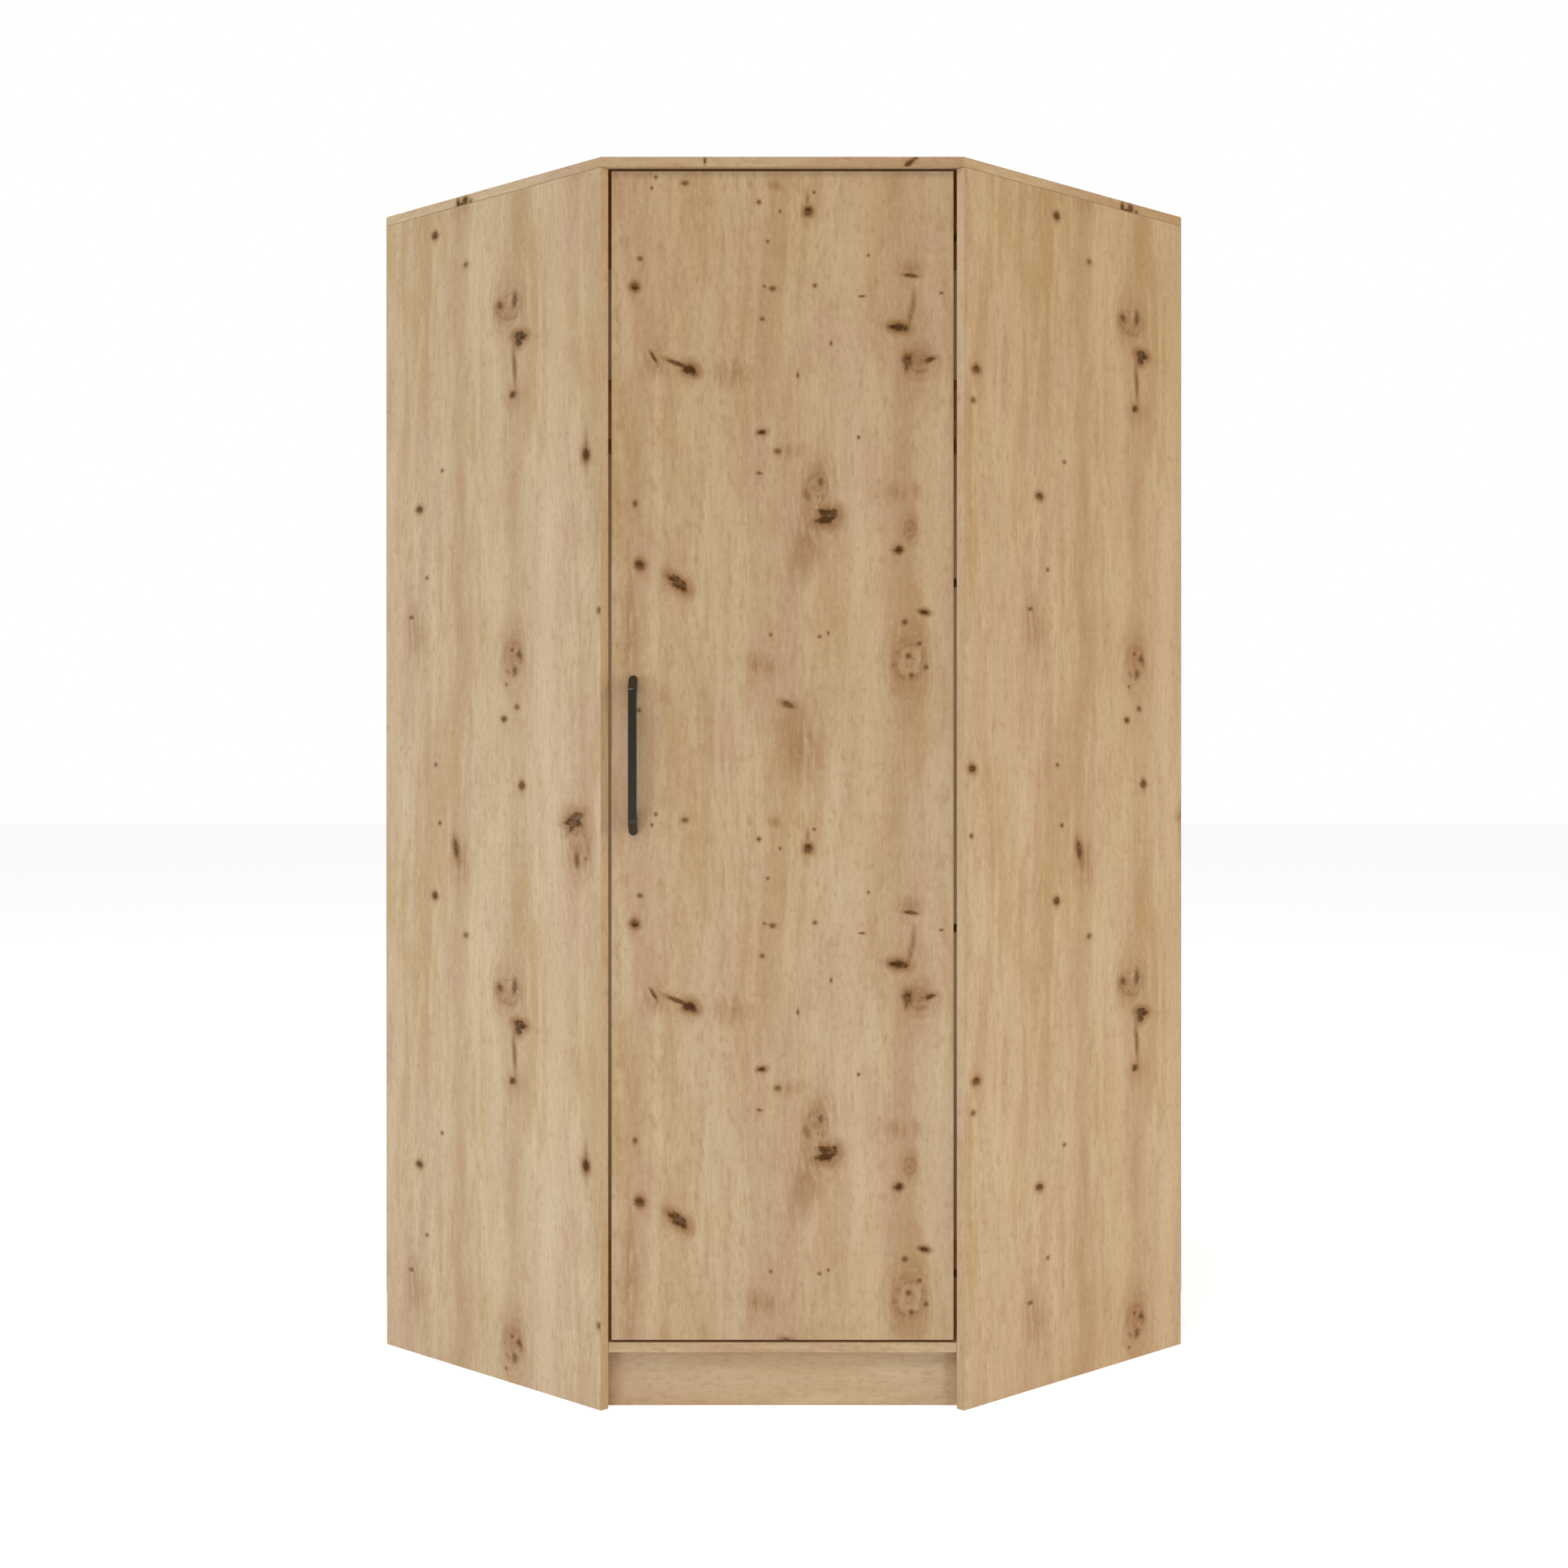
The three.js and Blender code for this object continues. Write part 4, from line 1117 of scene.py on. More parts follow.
@dataclass(frozen=True)
class Sheet:
    """A mesh's corners and faces as arrays, for writing attributes."""

    mesh: bpy.types.Mesh
    places: np.ndarray
    face: np.ndarray
    normals: np.ndarray
    centres: np.ndarray
    # A knot shows on the faces that look its way, or the opposite way, and lie this near to its own.
    same_way: float = 0.7
    reach_in_mm: float = 20

    @classmethod
    def of(cls, mesh: bpy.types.Mesh) -> "Sheet":
        """Reads a mesh's corners, and each face's normal and middle."""
        faces = mesh.polygons
        points = numbers(mesh.vertices, "co", 3)
        corner = numbers(mesh.loops, "vertex_index", 1, int)[:, 0]
        sides = numbers(faces, "loop_total", 1, int)[:, 0]
        face = np.repeat(np.arange(len(sides)), sides)
        return cls(mesh, points[corner], face, numbers(faces, "normal", 3), numbers(faces, "center", 3))

    def write(self, name: str, values: np.ndarray) -> None:
        """Writes a vector on every corner."""
        attribute = self.mesh.attributes.new(name, "FLOAT_VECTOR", "CORNER")
        attribute.data.foreach_set("vector", values.astype(np.float32).ravel())

    def write_bands(
        self, across: np.ndarray, turned: np.ndarray, bands: tuple[PlacedBand, ...], edge_pale: float
    ) -> None:
        """Writes how brown and how pale the bands make each corner.

        Args:
            across: each corner's place across the grain, and infinite on the edge bands.
            turned: each corner's place round the print cylinder, as an angle.
            bands: the bands on the board.
            edge_pale: how pale the edge bands are.
        """
        # Each band wavers once and, half as far, twice over a turn of the print.
        tone = np.zeros((len(self.places), 3))
        tone[:, 1] = np.where(np.isinf(across), edge_pale, 0.0)
        for placed in bands:
            band = placed.band
            waver = np.sin(turned + band.phase) + np.sin(2 * turned + SECOND_PHASE * band.phase) / 2
            off = across - placed.across - waver * band.waver_mm * MM
            share = np.exp(-((off / (band.wide_mm * MM / 2)) ** 2))
            for column, strength in enumerate((band.brown, band.pale)):
                tone[:, column] = np.maximum(tone[:, column], share * strength)
        self.write(TONE, tone)

    def write_knots(self, knots: tuple[PlacedKnot, ...]) -> None:
        """Writes, for the three knots nearest to each face, each corner's place in it and how it shows.

        Args:
            knots: the knots on the board.
        """
        count = len(NEAR_KNOTS)
        # Where a face has fewer knots, the rest lie far away and show nothing.
        far = 50.0
        reach = np.full((len(self.centres), len(knots) + count), np.inf)
        reach[:, -count:] = far
        local = np.full((len(knots) + count, len(self.places), 3), far)
        forms, looks = np.zeros((2, len(knots) + count, 3))
        for number, knot in enumerate(knots):
            cos, sin = math.cos(knot.turn), math.sin(knot.turn)
            across, along = np.array(knot.across), np.array(knot.along)
            middle, normal = np.array(knot.centre), np.array(knot.normal)
            wide, tall = across * cos + along * sin, along * cos - across * sin
            ways = np.stack([wide / knot.half_wide, tall / knot.half_tall], 1)
            offset = np.abs((self.centres - middle) @ normal)
            shows = (np.abs(self.normals @ normal) > self.same_way) & (offset < self.reach_in_mm * MM)
            distance = np.linalg.norm((self.centres - middle) @ ways, axis=1)
            reach[:, number] = np.where(shows, distance, np.inf)
            local[number, :, :2] = (self.places - middle) @ ways
            local[number, :, 2] = knot.seed
            forms[number] = (knot.half_wide, knot.look.core, knot.look.halo)
            looks[number] = (knot.look.rings, knot.look.spikes, knot.look.column)
        nearest = np.argsort(reach, axis=1, kind="stable")[:, :count]
        for rank, name in enumerate(NEAR_KNOTS):
            chosen = nearest[:, rank][self.face]
            self.write(name, local[chosen, np.arange(len(self.places))])
            self.write(name + FORM_ENDING, forms[chosen])
            self.write(name + LOOK_ENDING, looks[chosen])


@dataclass(frozen=True)
class Board:
    """One laminated board, cut from papered chipboard and edged.

    The grain runs along one direction on its two faces, and along each edge on the edge bands. The other side
    and the edge bands are cut from other layers of the print.
    """

    node: str
    body: Body
    normal: Vector
    grain: Vector
    layer: float
    cell_mm: float = 24
    repeat_mm: float = WING_REPEAT_MM
    origin: Vector = field(default_factory=Vector)
    knots: tuple[PlacedKnot, ...] = ()
    bands: tuple[PlacedBand, ...] = ()
    ease_mm: float = 0.7
    edge_over_mm: float = 12
    other_side: float = 5.3
    edge_layer: float = 14.3
    edge_pale: float = 0.0

    @property
    def across(self) -> Vector:
        """The direction across the grain on the board's faces."""
        return self.grain.cross(self.normal)

    def cut_in_cells(self, shape: bmesh.types.BMesh) -> None:
        """Cuts the board in small faces, so that each can follow the knots nearest to it."""
        cell = self.cell_mm * MM
        for way in (self.grain, self.across):
            reach = [vertex.co.dot(way) for vertex in shape.verts]
            start, count = min(reach), math.ceil((max(reach) - min(reach)) / cell)
            for number in range(1, count):
                everything = shape.verts[:] + shape.edges[:] + shape.faces[:]
                bmesh.ops.bisect_plane(
                    shape, geom=everything, dist=1e-7, plane_co=way * (start + number * cell), plane_no=way
                )

    def write_print(self, mesh: bpy.types.Mesh) -> None:
        """Writes the grain's, the bands' and the nearest knots' coordinates on every corner of every face.

        The grain's coordinate lies on a cylinder, so that the print repeats along the board without a seam.
        """
        sheet = Sheet.of(mesh)
        normal = np.array(self.normal)
        main = np.abs(sheet.normals @ normal) > ALIKE
        along_edge = np.cross(normal, sheet.normals)
        along_edge /= np.maximum(np.linalg.norm(along_edge, axis=1, keepdims=True), 1e-9)
        along = np.where(main[:, None], np.array(self.grain), along_edge)
        across = np.where(main[:, None], np.array(self.across), normal)
        rear = sheet.normals @ normal < 0
        layer = self.layer + np.where(main, rear * self.other_side, self.edge_layer)
        place = sheet.places - np.array(self.origin)
        u = np.einsum("ij,ij->i", place, across[sheet.face])
        v = np.einsum("ij,ij->i", place, along[sheet.face])
        radius = self.repeat_mm * MM / math.tau
        turned = v / radius
        rows = [u + layer[sheet.face], radius * np.cos(turned), radius * np.sin(turned)]
        sheet.write(GRAIN, np.stack(rows, 1))
        sheet.write_bands(np.where(main[sheet.face], u, np.inf), turned, self.bands, self.edge_pale)
        sheet.write_knots(self.knots)

    def build(self, finishes: Finishes) -> bpy.types.Object:
        """Builds the board: copies its solid, eases its edges and prints it."""
        shape = solid_copy(self.node)
        eased(shape, self.ease_mm, self.edge_over_mm)
        self.cut_in_cells(shape)
        board = closed(shape, self.node + "_oak", finishes.by_slot[Slot.OAK])
        self.write_print(board.data)
        return finished(board, self.body, (self.node,))


def wing_face(side: int) -> Face:
    """The outer face of a side panel as the photograph shows it: -1 is the left wing and 1 the right one."""
    low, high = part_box("left_side_panel" if side < 0 else "right_side_panel")
    if side < 0:
        rear = Vector((low.x, high.y - BOARD_MM * MM * ROOT_HALF, 0))
        return Face(rear, Vector((ROOT_HALF, -ROOT_HALF, 0)))
    front = Vector((low.x + BOARD_MM * MM * ROOT_HALF, low.y, 0))
    return Face(front, Vector((ROOT_HALF, ROOT_HALF, 0)))


@dataclass(frozen=True)
class Boards:
    """All the laminated boards: carcass and door."""

    camera: PhotoCamera
    knotty_cell_mm: float = 10
    # The photograph's row at which the bands' columns were read.
    band_row: float = 1000
    # The seeds of the edge bands' knots start here.
    edge_seeds: int = 60
    stile_pale: float = 0.4
    # Painted light on the plinth: a pale band, wider than the plinth and palest at its mid-height, that
    # lightens it as light from below would.
    plinth_painted_light: Band = Band(0, 130, pale=0.75, waver_mm=3)

    def placed(self, face: Face, knots: tuple[Knot, ...]) -> list[tuple[float, float, Knot]]:
        """Finds where the photograph's knots lie on a face."""
        return [(*face.place(self.camera, knot.px, knot.py), knot) for knot in knots]

    def bands(self, face: Face, bands: tuple[Band, ...], way: Vector) -> tuple[PlacedBand, ...]:
        """Finds where the photograph's bands lie on a face, along a board's direction across."""
        return tuple(
            PlacedBand(face.place(self.camera, band.px, self.band_row)[0] * face.across.dot(way), band)
            for band in bands
        )

    def wings(self) -> list[Board]:
        """The two side panels, papered with one print, which lies further to the right on the right one."""
        left, right = wing_face(-1), wing_face(1)
        shift = WING_SHIFT_MM * MM
        seen = self.placed(left, LEFT_WING_KNOTS)
        for across, height, knot in self.placed(right, RIGHT_WING_KNOTS):
            seen.append((across - shift, height, knot))
        pattern = Print(WING_REPEAT_MM, tuple(seen))
        bands = self.bands(left, LEFT_WING_BANDS, left.across)
        boards = []
        for face, name, moved in ((left, "left_side_panel", 0.0), (right, "right_side_panel", shift)):
            low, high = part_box(name)
            board = Board(
                name,
                Body.CARCASS,
                face.normal,
                UP,
                layer=1.0,
                cell_mm=self.knotty_cell_mm,
                origin=face.point(moved, 0),
                knots=tuple(pattern.on(face, moved, (high.y - low.y) / ROOT_HALF, high.z)),
                bands=bands,
                edge_pale=self.stile_pale,
            )
            boards.append(board)
        return boards

    def door(self) -> Board:
        """The door, with the photograph's knots on it."""
        low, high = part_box("door_panel")
        face = Face(Vector((low.x, low.y, 0)), RIGHT)
        pattern = Print(DOOR_REPEAT_MM, tuple(self.placed(face, DOOR_KNOTS)))
        return Board(
            "door_panel",
            Body.DOOR,
            FRONT,
            UP,
            layer=31.0,
            cell_mm=self.knotty_cell_mm,
            repeat_mm=DOOR_REPEAT_MM,
            origin=face.left,
            knots=tuple(pattern.on(face, 0.0, high.x - low.x, high.z)),
            bands=self.bands(face, DOOR_BANDS, RIGHT),
        )

    def top(self) -> Board:
        """The top panel, with a knot in each of its visible edge bands."""
        low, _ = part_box("top_panel")
        knots = []
        front = Face(Vector((low.x, low.y, 0)), RIGHT)
        edges = ((wing_face(-1), TOP_LEFT_KNOTS), (front, TOP_FRONT_KNOTS), (wing_face(1), TOP_RIGHT_KNOTS))
        for face, seen in edges:
            for across, height, knot in self.placed(face, seen):
                seed = SEED_STEP * (self.edge_seeds + len(knots))
                knots.append(PlacedKnot.of(knot, face.point(across, height), face.across, face.along, seed))
        return Board("top_panel", Body.CARCASS, UP, RIGHT, layer=61.0, knots=tuple(knots))

    def plain(self) -> list[Board]:
        """The boards without knots: inside ones and the plinth, whose grain runs from side to side."""
        # The plinth's pale band is painted light, which brightens the recessed plinth.
        plinth_painted_light = PlacedBand(-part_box("plinth")[1].z / 2, self.plinth_painted_light)
        return [
            Board("bottom_panel", Body.CARCASS, UP, RIGHT, layer=91.0),
            Board("hat_shelf", Body.CARCASS, UP, RIGHT, layer=121.0),
            Board("plinth", Body.CARCASS, FRONT, RIGHT, layer=151.0, bands=(plinth_painted_light,)),
            Board("left_rear_post", Body.CARCASS, wing_face(1).normal, UP, layer=181.0),
            Board("right_rear_post", Body.CARCASS, wing_face(-1).normal, UP, layer=211.0),
        ]

    def build(self, finishes: Finishes) -> None:
        """Builds every board."""
        for board in [*self.wings(), self.door(), self.top(), *self.plain()]:
            board.build(finishes)


@dataclass(frozen=True)
class SmallPiece:
    """A small metal or plastic piece: a copy of its solid with eased edges and smooth rounds."""

    node: str
    body: Body
    slot: Slot
    ease_mm: float = 0.25
    edge_over_mm: float = 1.0
    smooth_angle: float = 40

    def build(self, finishes: Finishes) -> bpy.types.Object:
        """Builds the piece in its slot's finish."""
        shape = solid_copy(self.node)
        eased(shape, self.ease_mm, self.edge_over_mm)
        piece = closed(shape, self.node + "_dressed", finishes.by_slot[self.slot])
        smoothed(piece, self.smooth_angle)
        return finished(piece, self.body, (self.node,))


@dataclass(frozen=True)
class Backs:
    """The hardboard backs: four sheets, raw outside and white inside, and the strips that join them."""

    ease_mm: float = 0.3

    def build(self, finishes: Finishes) -> None:
        """Builds the sheets and the strips."""
        for side, wall in (("left", WallFrame(-1)), ("right", WallFrame(1))):
            for place in ("inner", "outer"):
                name = f"{side}_back_{place}_sheet"
                sheet = closed(solid_copy(name), name + "_dressed", finishes.by_slot[Slot.HARDBOARD])
                sheet.data.materials.append(finishes.white_coat)
                for face in sheet.data.polygons:
                    face.material_index = int(face.normal.dot(wall.outward) < -ALIKE)
                finished(sheet, Body.CARCASS, (name,))
            SmallPiece(f"{side}_back_joint_strip", Body.CARCASS, Slot.PLASTIC, self.ease_mm).build(finishes)


@dataclass(frozen=True)
class BowHandle:
    """The black bow handle: a flat bar with sloping ends that run down to round feet on the door."""

    node: str = "door_handle"
    corner_mm: float = 1.3
    foot_mm: float = 25
    slope_mm: float = 22
    inner_slope_mm: float = 14
    bar_mm: float = 8
    blend_mm: float = 4
    thinnest_mm: float = 0.01
    merge_mm: float = 0.001
    corner_steps: int = 4
    stations: int = 150
    smooth_angle: float = 50

    def soft_least(self, first: float, second: float) -> float:
        """The smaller of two lengths, with a soft change from one to the other."""
        blend = self.blend_mm * MM
        share = max(blend - abs(first - second), 0.0) / blend
        return min(first, second) - share * share * blend / 4

    def section(self, half: float, back: float, front: float) -> list[tuple[float, float]]:
        """Draws the outline of a slice across the handle.

        Args:
            half: half the slice's width.
            back: its distance from the door.
            front: its front, from the door.

        Returns:
            Points across the handle and out from the door, in order round the slice.
        """
        corner = min(self.corner_mm * MM, half, (front - back) / 2)
        side, outer, inner = half - corner, front - corner, back + corner
        points = []
        corners_round = ((side, outer), (-side, outer), (-side, inner), (side, inner))
        for quarter, (x, y) in enumerate(corners_round):
            for step in range(self.corner_steps + 1):
                angle = (quarter + step / self.corner_steps) * math.pi / 2
                points.append((x + corner * math.cos(angle), y + corner * math.sin(angle)))
        return points

    def slices(self) -> list[list[Vector]]:
        """Finds the handle's outlines from its lower end to its upper one, closest together at the ends."""
        low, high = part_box(self.node)
        middle, half = (low + high) / 2, (high - low) / 2
        reach = high.y - low.y
        foot, slope, inner = (size * MM for size in (self.foot_mm, self.slope_mm, self.inner_slope_mm))
        under = reach - self.bar_mm * MM
        rows = []
        for number in range(1, self.stations):
            along = -half.z * math.cos(number / self.stations * math.pi)
            end = half.z - abs(along)
            front = self.soft_least(reach * end / slope, reach)
            back = max(self.soft_least(under * (end - foot) / inner, under), 0.0)
            wide = math.sqrt(half.x**2 - max(half.x - end, 0.0) ** 2)
            outline = self.section(wide, back, max(front, self.thinnest_mm * MM))
            rows.append([Vector((middle.x + x, high.y - y, middle.z + along)) for x, y in outline])
        return rows

    def build(self, finishes: Finishes) -> bpy.types.Object:
        """Builds the handle's skin over its slices."""
        shape = bmesh.new()
        rows = [[shape.verts.new(point) for point in row] for row in self.slices()]
        for lower, upper in zip(rows, rows[1:]):
            for place in range(len(lower)):
                after = (place + 1) % len(lower)
                shape.faces.new((lower[place], lower[after], upper[after], upper[place]))
        shape.faces.new(rows[0])
        shape.faces.new(rows[-1])
        bmesh.ops.remove_doubles(shape, verts=shape.verts, dist=self.merge_mm * MM)
        bmesh.ops.recalc_face_normals(shape, faces=shape.faces)
        handle = closed(shape, "bow_handle", finishes.by_slot[Slot.BLACK])
        smoothed(handle, self.smooth_angle)
        return finished(handle, Body.DOOR, (self.node,))


@dataclass(frozen=True)
class Spot:
    """Where a fastener's head sits, and the way that it faces."""

    place: Vector
    facing: Vector


@dataclass(frozen=True)
class FastenerHeads:
    """Heads of screws or nails, all alike, set on spots by Geometry Nodes."""

    name: str
    radius_mm: float
    top_share: float
    height_mm: float
    recess_mm: float = 0.0
    recess_wide_mm: float = 0.9
    sides: int = 20
    seed: int = 7

    @property
    def sizes(self) -> dict[str, float]:
        """The modifier's inputs: each size's name and its millimetres."""
        return {
            "Head Radius": self.radius_mm,
            "Top Radius": self.radius_mm * self.top_share,
            "Head Height": self.height_mm,
            "Recess Length": self.recess_mm,
            "Recess Width": self.recess_wide_mm,
        }

    def head(self, add: Adder, given: bpy.types.bpy_prop_collection) -> bpy.types.Node:
        """Draws one head: a cone without its tip, and a cross cut in it for the driver where it has one.

        Args:
            add: adds a node to the tree.
            given: the tree's inputs.

        Returns:
            The head, with its seat at the origin.
        """
        height = given["Head Height"]
        cone = {
            "Vertices": self.sides,
            "Side Segments": 1,
            "Radius Top": given["Top Radius"],
            "Radius Bottom": given["Head Radius"],
            "Depth": height,
        }
        head = add("GeometryNodeMeshCone", cone)
        if self.recess_mm == 0:
            return head
        slots = []
        for first, second in (("Recess Length", "Recess Width"), ("Recess Width", "Recess Length")):
            size = add("ShaderNodeCombineXYZ", {"X": given[first], "Y": given[second], "Z": height})
            lift = add("ShaderNodeCombineXYZ", {"Z": height})
            cube = add("GeometryNodeMeshCube", {"Size": size})
            slots.append(add("GeometryNodeTransform", {"Geometry": cube, "Translation": lift}))
        cross = add("GeometryNodeMeshBoolean", {1: slots[0]}, operation="UNION")
        feed(cross, {1: slots[1]})
        return add("GeometryNodeMeshBoolean", {0: head, 1: cross}, operation="DIFFERENCE")

    def tree(self, finish: bpy.types.Material) -> bpy.types.NodeTree:
        """Builds the node tree: one head, a copy of it on each spot, turned to face its own way.

        Args:
            finish: the heads' material.

        Returns:
            The tree, with its sizes as named inputs.
        """
        tree = bpy.data.node_groups.new(self.name, "GeometryNodeTree")
        add = partial(add_node, tree)
        for way in ("INPUT", "OUTPUT"):
            tree.interface.new_socket("Geometry", in_out=way, socket_type="NodeSocketGeometry")
        for name in self.sizes:
            tree.interface.new_socket(name, in_out="INPUT", socket_type="NodeSocketFloat")
        given = add("NodeGroupInput").outputs
        head = self.head(add, given)
        facing = add("GeometryNodeInputNamedAttribute", {"Name": FACING}, data_type="FLOAT_VECTOR")
        aligned = add("FunctionNodeAlignRotationToVector", {"Vector": facing}, axis="Z")
        any_turn = {"Max": (0.0, 0.0, math.tau), "Seed": self.seed}
        spin = add("FunctionNodeRandomValue", any_turn, data_type="FLOAT_VECTOR")
        turned = add(
            "FunctionNodeRotateRotation", {"Rotation": aligned, "Rotate By": spin}, rotation_space="LOCAL"
        )
        set_on = {"Points": given["Geometry"], "Instance": head, "Rotation": turned}
        placed = add("GeometryNodeInstanceOnPoints", set_on)
        real = add("GeometryNodeRealizeInstances", {"Geometry": placed})
        dressed = add("GeometryNodeSetMaterial", {"Geometry": real, "Material": finish})
        add("NodeGroupOutput", {"Geometry": dressed})
        return tree

    def build(self, spots: list[Spot], finishes: Finishes, body: Body, slot: Slot) -> bpy.types.Object:
        """Sets a head on every spot.

        Args:
            spots: where the heads sit.
            finishes: the wardrobe's finishes.
            body: the body that they ride on.
            slot: the record's material slot.

        Returns:
            One piece that holds all the heads.
        """
        points = bpy.data.meshes.new(self.name)
        points.from_pydata([spot.place for spot in spots], [], [])
        ways = points.attributes.new(FACING, "FLOAT_VECTOR", "POINT")
        ways.data.foreach_set("vector", [value for spot in spots for value in spot.facing])
        carrier = mesh_object(self.name + "_spots", points)
        modifier = carrier.modifiers.new("heads", "NODES")
        modifier.node_group = self.tree(finishes.by_slot[slot])
        for item in modifier.node_group.interface.items_tree:
            if item.name in self.sizes:
                modifier[item.identifier] = self.sizes[item.name] * MM
        seen = carrier.evaluated_get(bpy.context.evaluated_depsgraph_get())
        mesh = bpy.data.meshes.new_from_object(seen)
        carrier.modifiers.remove(modifier)
        bpy.data.objects.remove(carrier)
        return finished(mesh_object(self.name, mesh), body)


@dataclass(frozen=True)
class PanelFrame:
    """Places on the right side panel's inner face: along it from its front corner, off it, and up."""

    corner: Vector
    along: Vector = field(default_factory=lambda: Vector((ROOT_HALF, ROOT_HALF, 0)))
    off: Vector = field(default_factory=lambda: Vector((-ROOT_HALF, ROOT_HALF, 0)))

    @classmethod
    def right(cls) -> "PanelFrame":
        """The frame at the right side panel's inner front corner."""
        low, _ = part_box("right_side_panel")
        return cls(Vector((low.x, low.y + BOARD_MM * MM * ROOT_HALF, 0)))

    def point(self, along_mm: float, off_mm: float, height: float) -> Vector:
        """The point at a distance along and off the panel, at a height."""
        return self.corner + self.along * along_mm * MM + self.off * off_mm * MM + UP * height


@dataclass(frozen=True)
class Hinges:
    """Four concealed hinges with their screws."""

    count: int = 4
    screw_rise_mm: float = 24
    cup_screw_from_edge_mm: float = 29
    plate_screw_along_mm: float = 37
    plate_top_mm: float = 2.6
    arm_top_mm: float = 13
    arm_screws_along_mm: tuple[float, ...] = (46, 66)
    plate_screw: FastenerHeads = FastenerHeads("hinge_plate_screws", 3.6, 0.62, 1.5, 3.6)
    cup_screw: FastenerHeads = FastenerHeads("hinge_cup_screws", 3.6, 0.62, 1.5, 3.6)
    arm_screw: FastenerHeads = FastenerHeads("hinge_arm_screws", 3.2, 0.9, 1.0, 3.8)

    def build(self, finishes: Finishes) -> None:
        """Builds the pieces of each hinge and sets their screws."""
        panel = PanelFrame.right()
        cup_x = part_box("door_panel")[1].x - self.cup_screw_from_edge_mm * MM
        plate_spots, arm_spots, cup_spots = [], [], []
        for number in range(1, self.count + 1):
            for body, parts in ((Body.CARCASS, ("arm", "plate")), (Body.DOOR, ("cup", "pin"))):
                for part in parts:
                    SmallPiece(f"hinge_{part}_{number}", body, Slot.NICKEL).build(finishes)
            low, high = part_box(f"hinge_cup_{number}")
            middle = (low.z + high.z) / 2
            for way in (-1, 1):
                rise = middle + way * self.screw_rise_mm * MM
                cup_spots.append(Spot(Vector((cup_x, high.y, rise)), BACK))
                on_plate = panel.point(self.plate_screw_along_mm, self.plate_top_mm, rise)
                plate_spots.append(Spot(on_plate, panel.off))
            for along in self.arm_screws_along_mm:
                arm_spots.append(Spot(panel.point(along, self.arm_top_mm, middle), panel.off))
        self.plate_screw.build(plate_spots, finishes, Body.CARCASS, Slot.NICKEL)
        self.cup_screw.build(cup_spots, finishes, Body.DOOR, Slot.NICKEL)
        self.arm_screw.build(arm_spots, finishes, Body.CARCASS, Slot.NICKEL)


@dataclass(frozen=True)
class WallFrame:
    """Places at the left wall, -1, or the right one, 1: along it from the room's corner, off it, and up."""

    side: int
    corner_mm: float = 570.493

    @property
    def outward(self) -> Vector:
        """The direction into the wall."""
        return Vector((self.side * ROOT_HALF, ROOT_HALF, 0))

    def point(self, along_mm: float, off_mm: float, height_mm: float) -> Vector:
        """The point at a distance along and off the wall, at a height."""
        x = self.side * (along_mm - off_mm) * ROOT_HALF
        y = self.corner_mm - (along_mm + off_mm) * ROOT_HALF
        return Vector((x, y, height_mm)) * MM


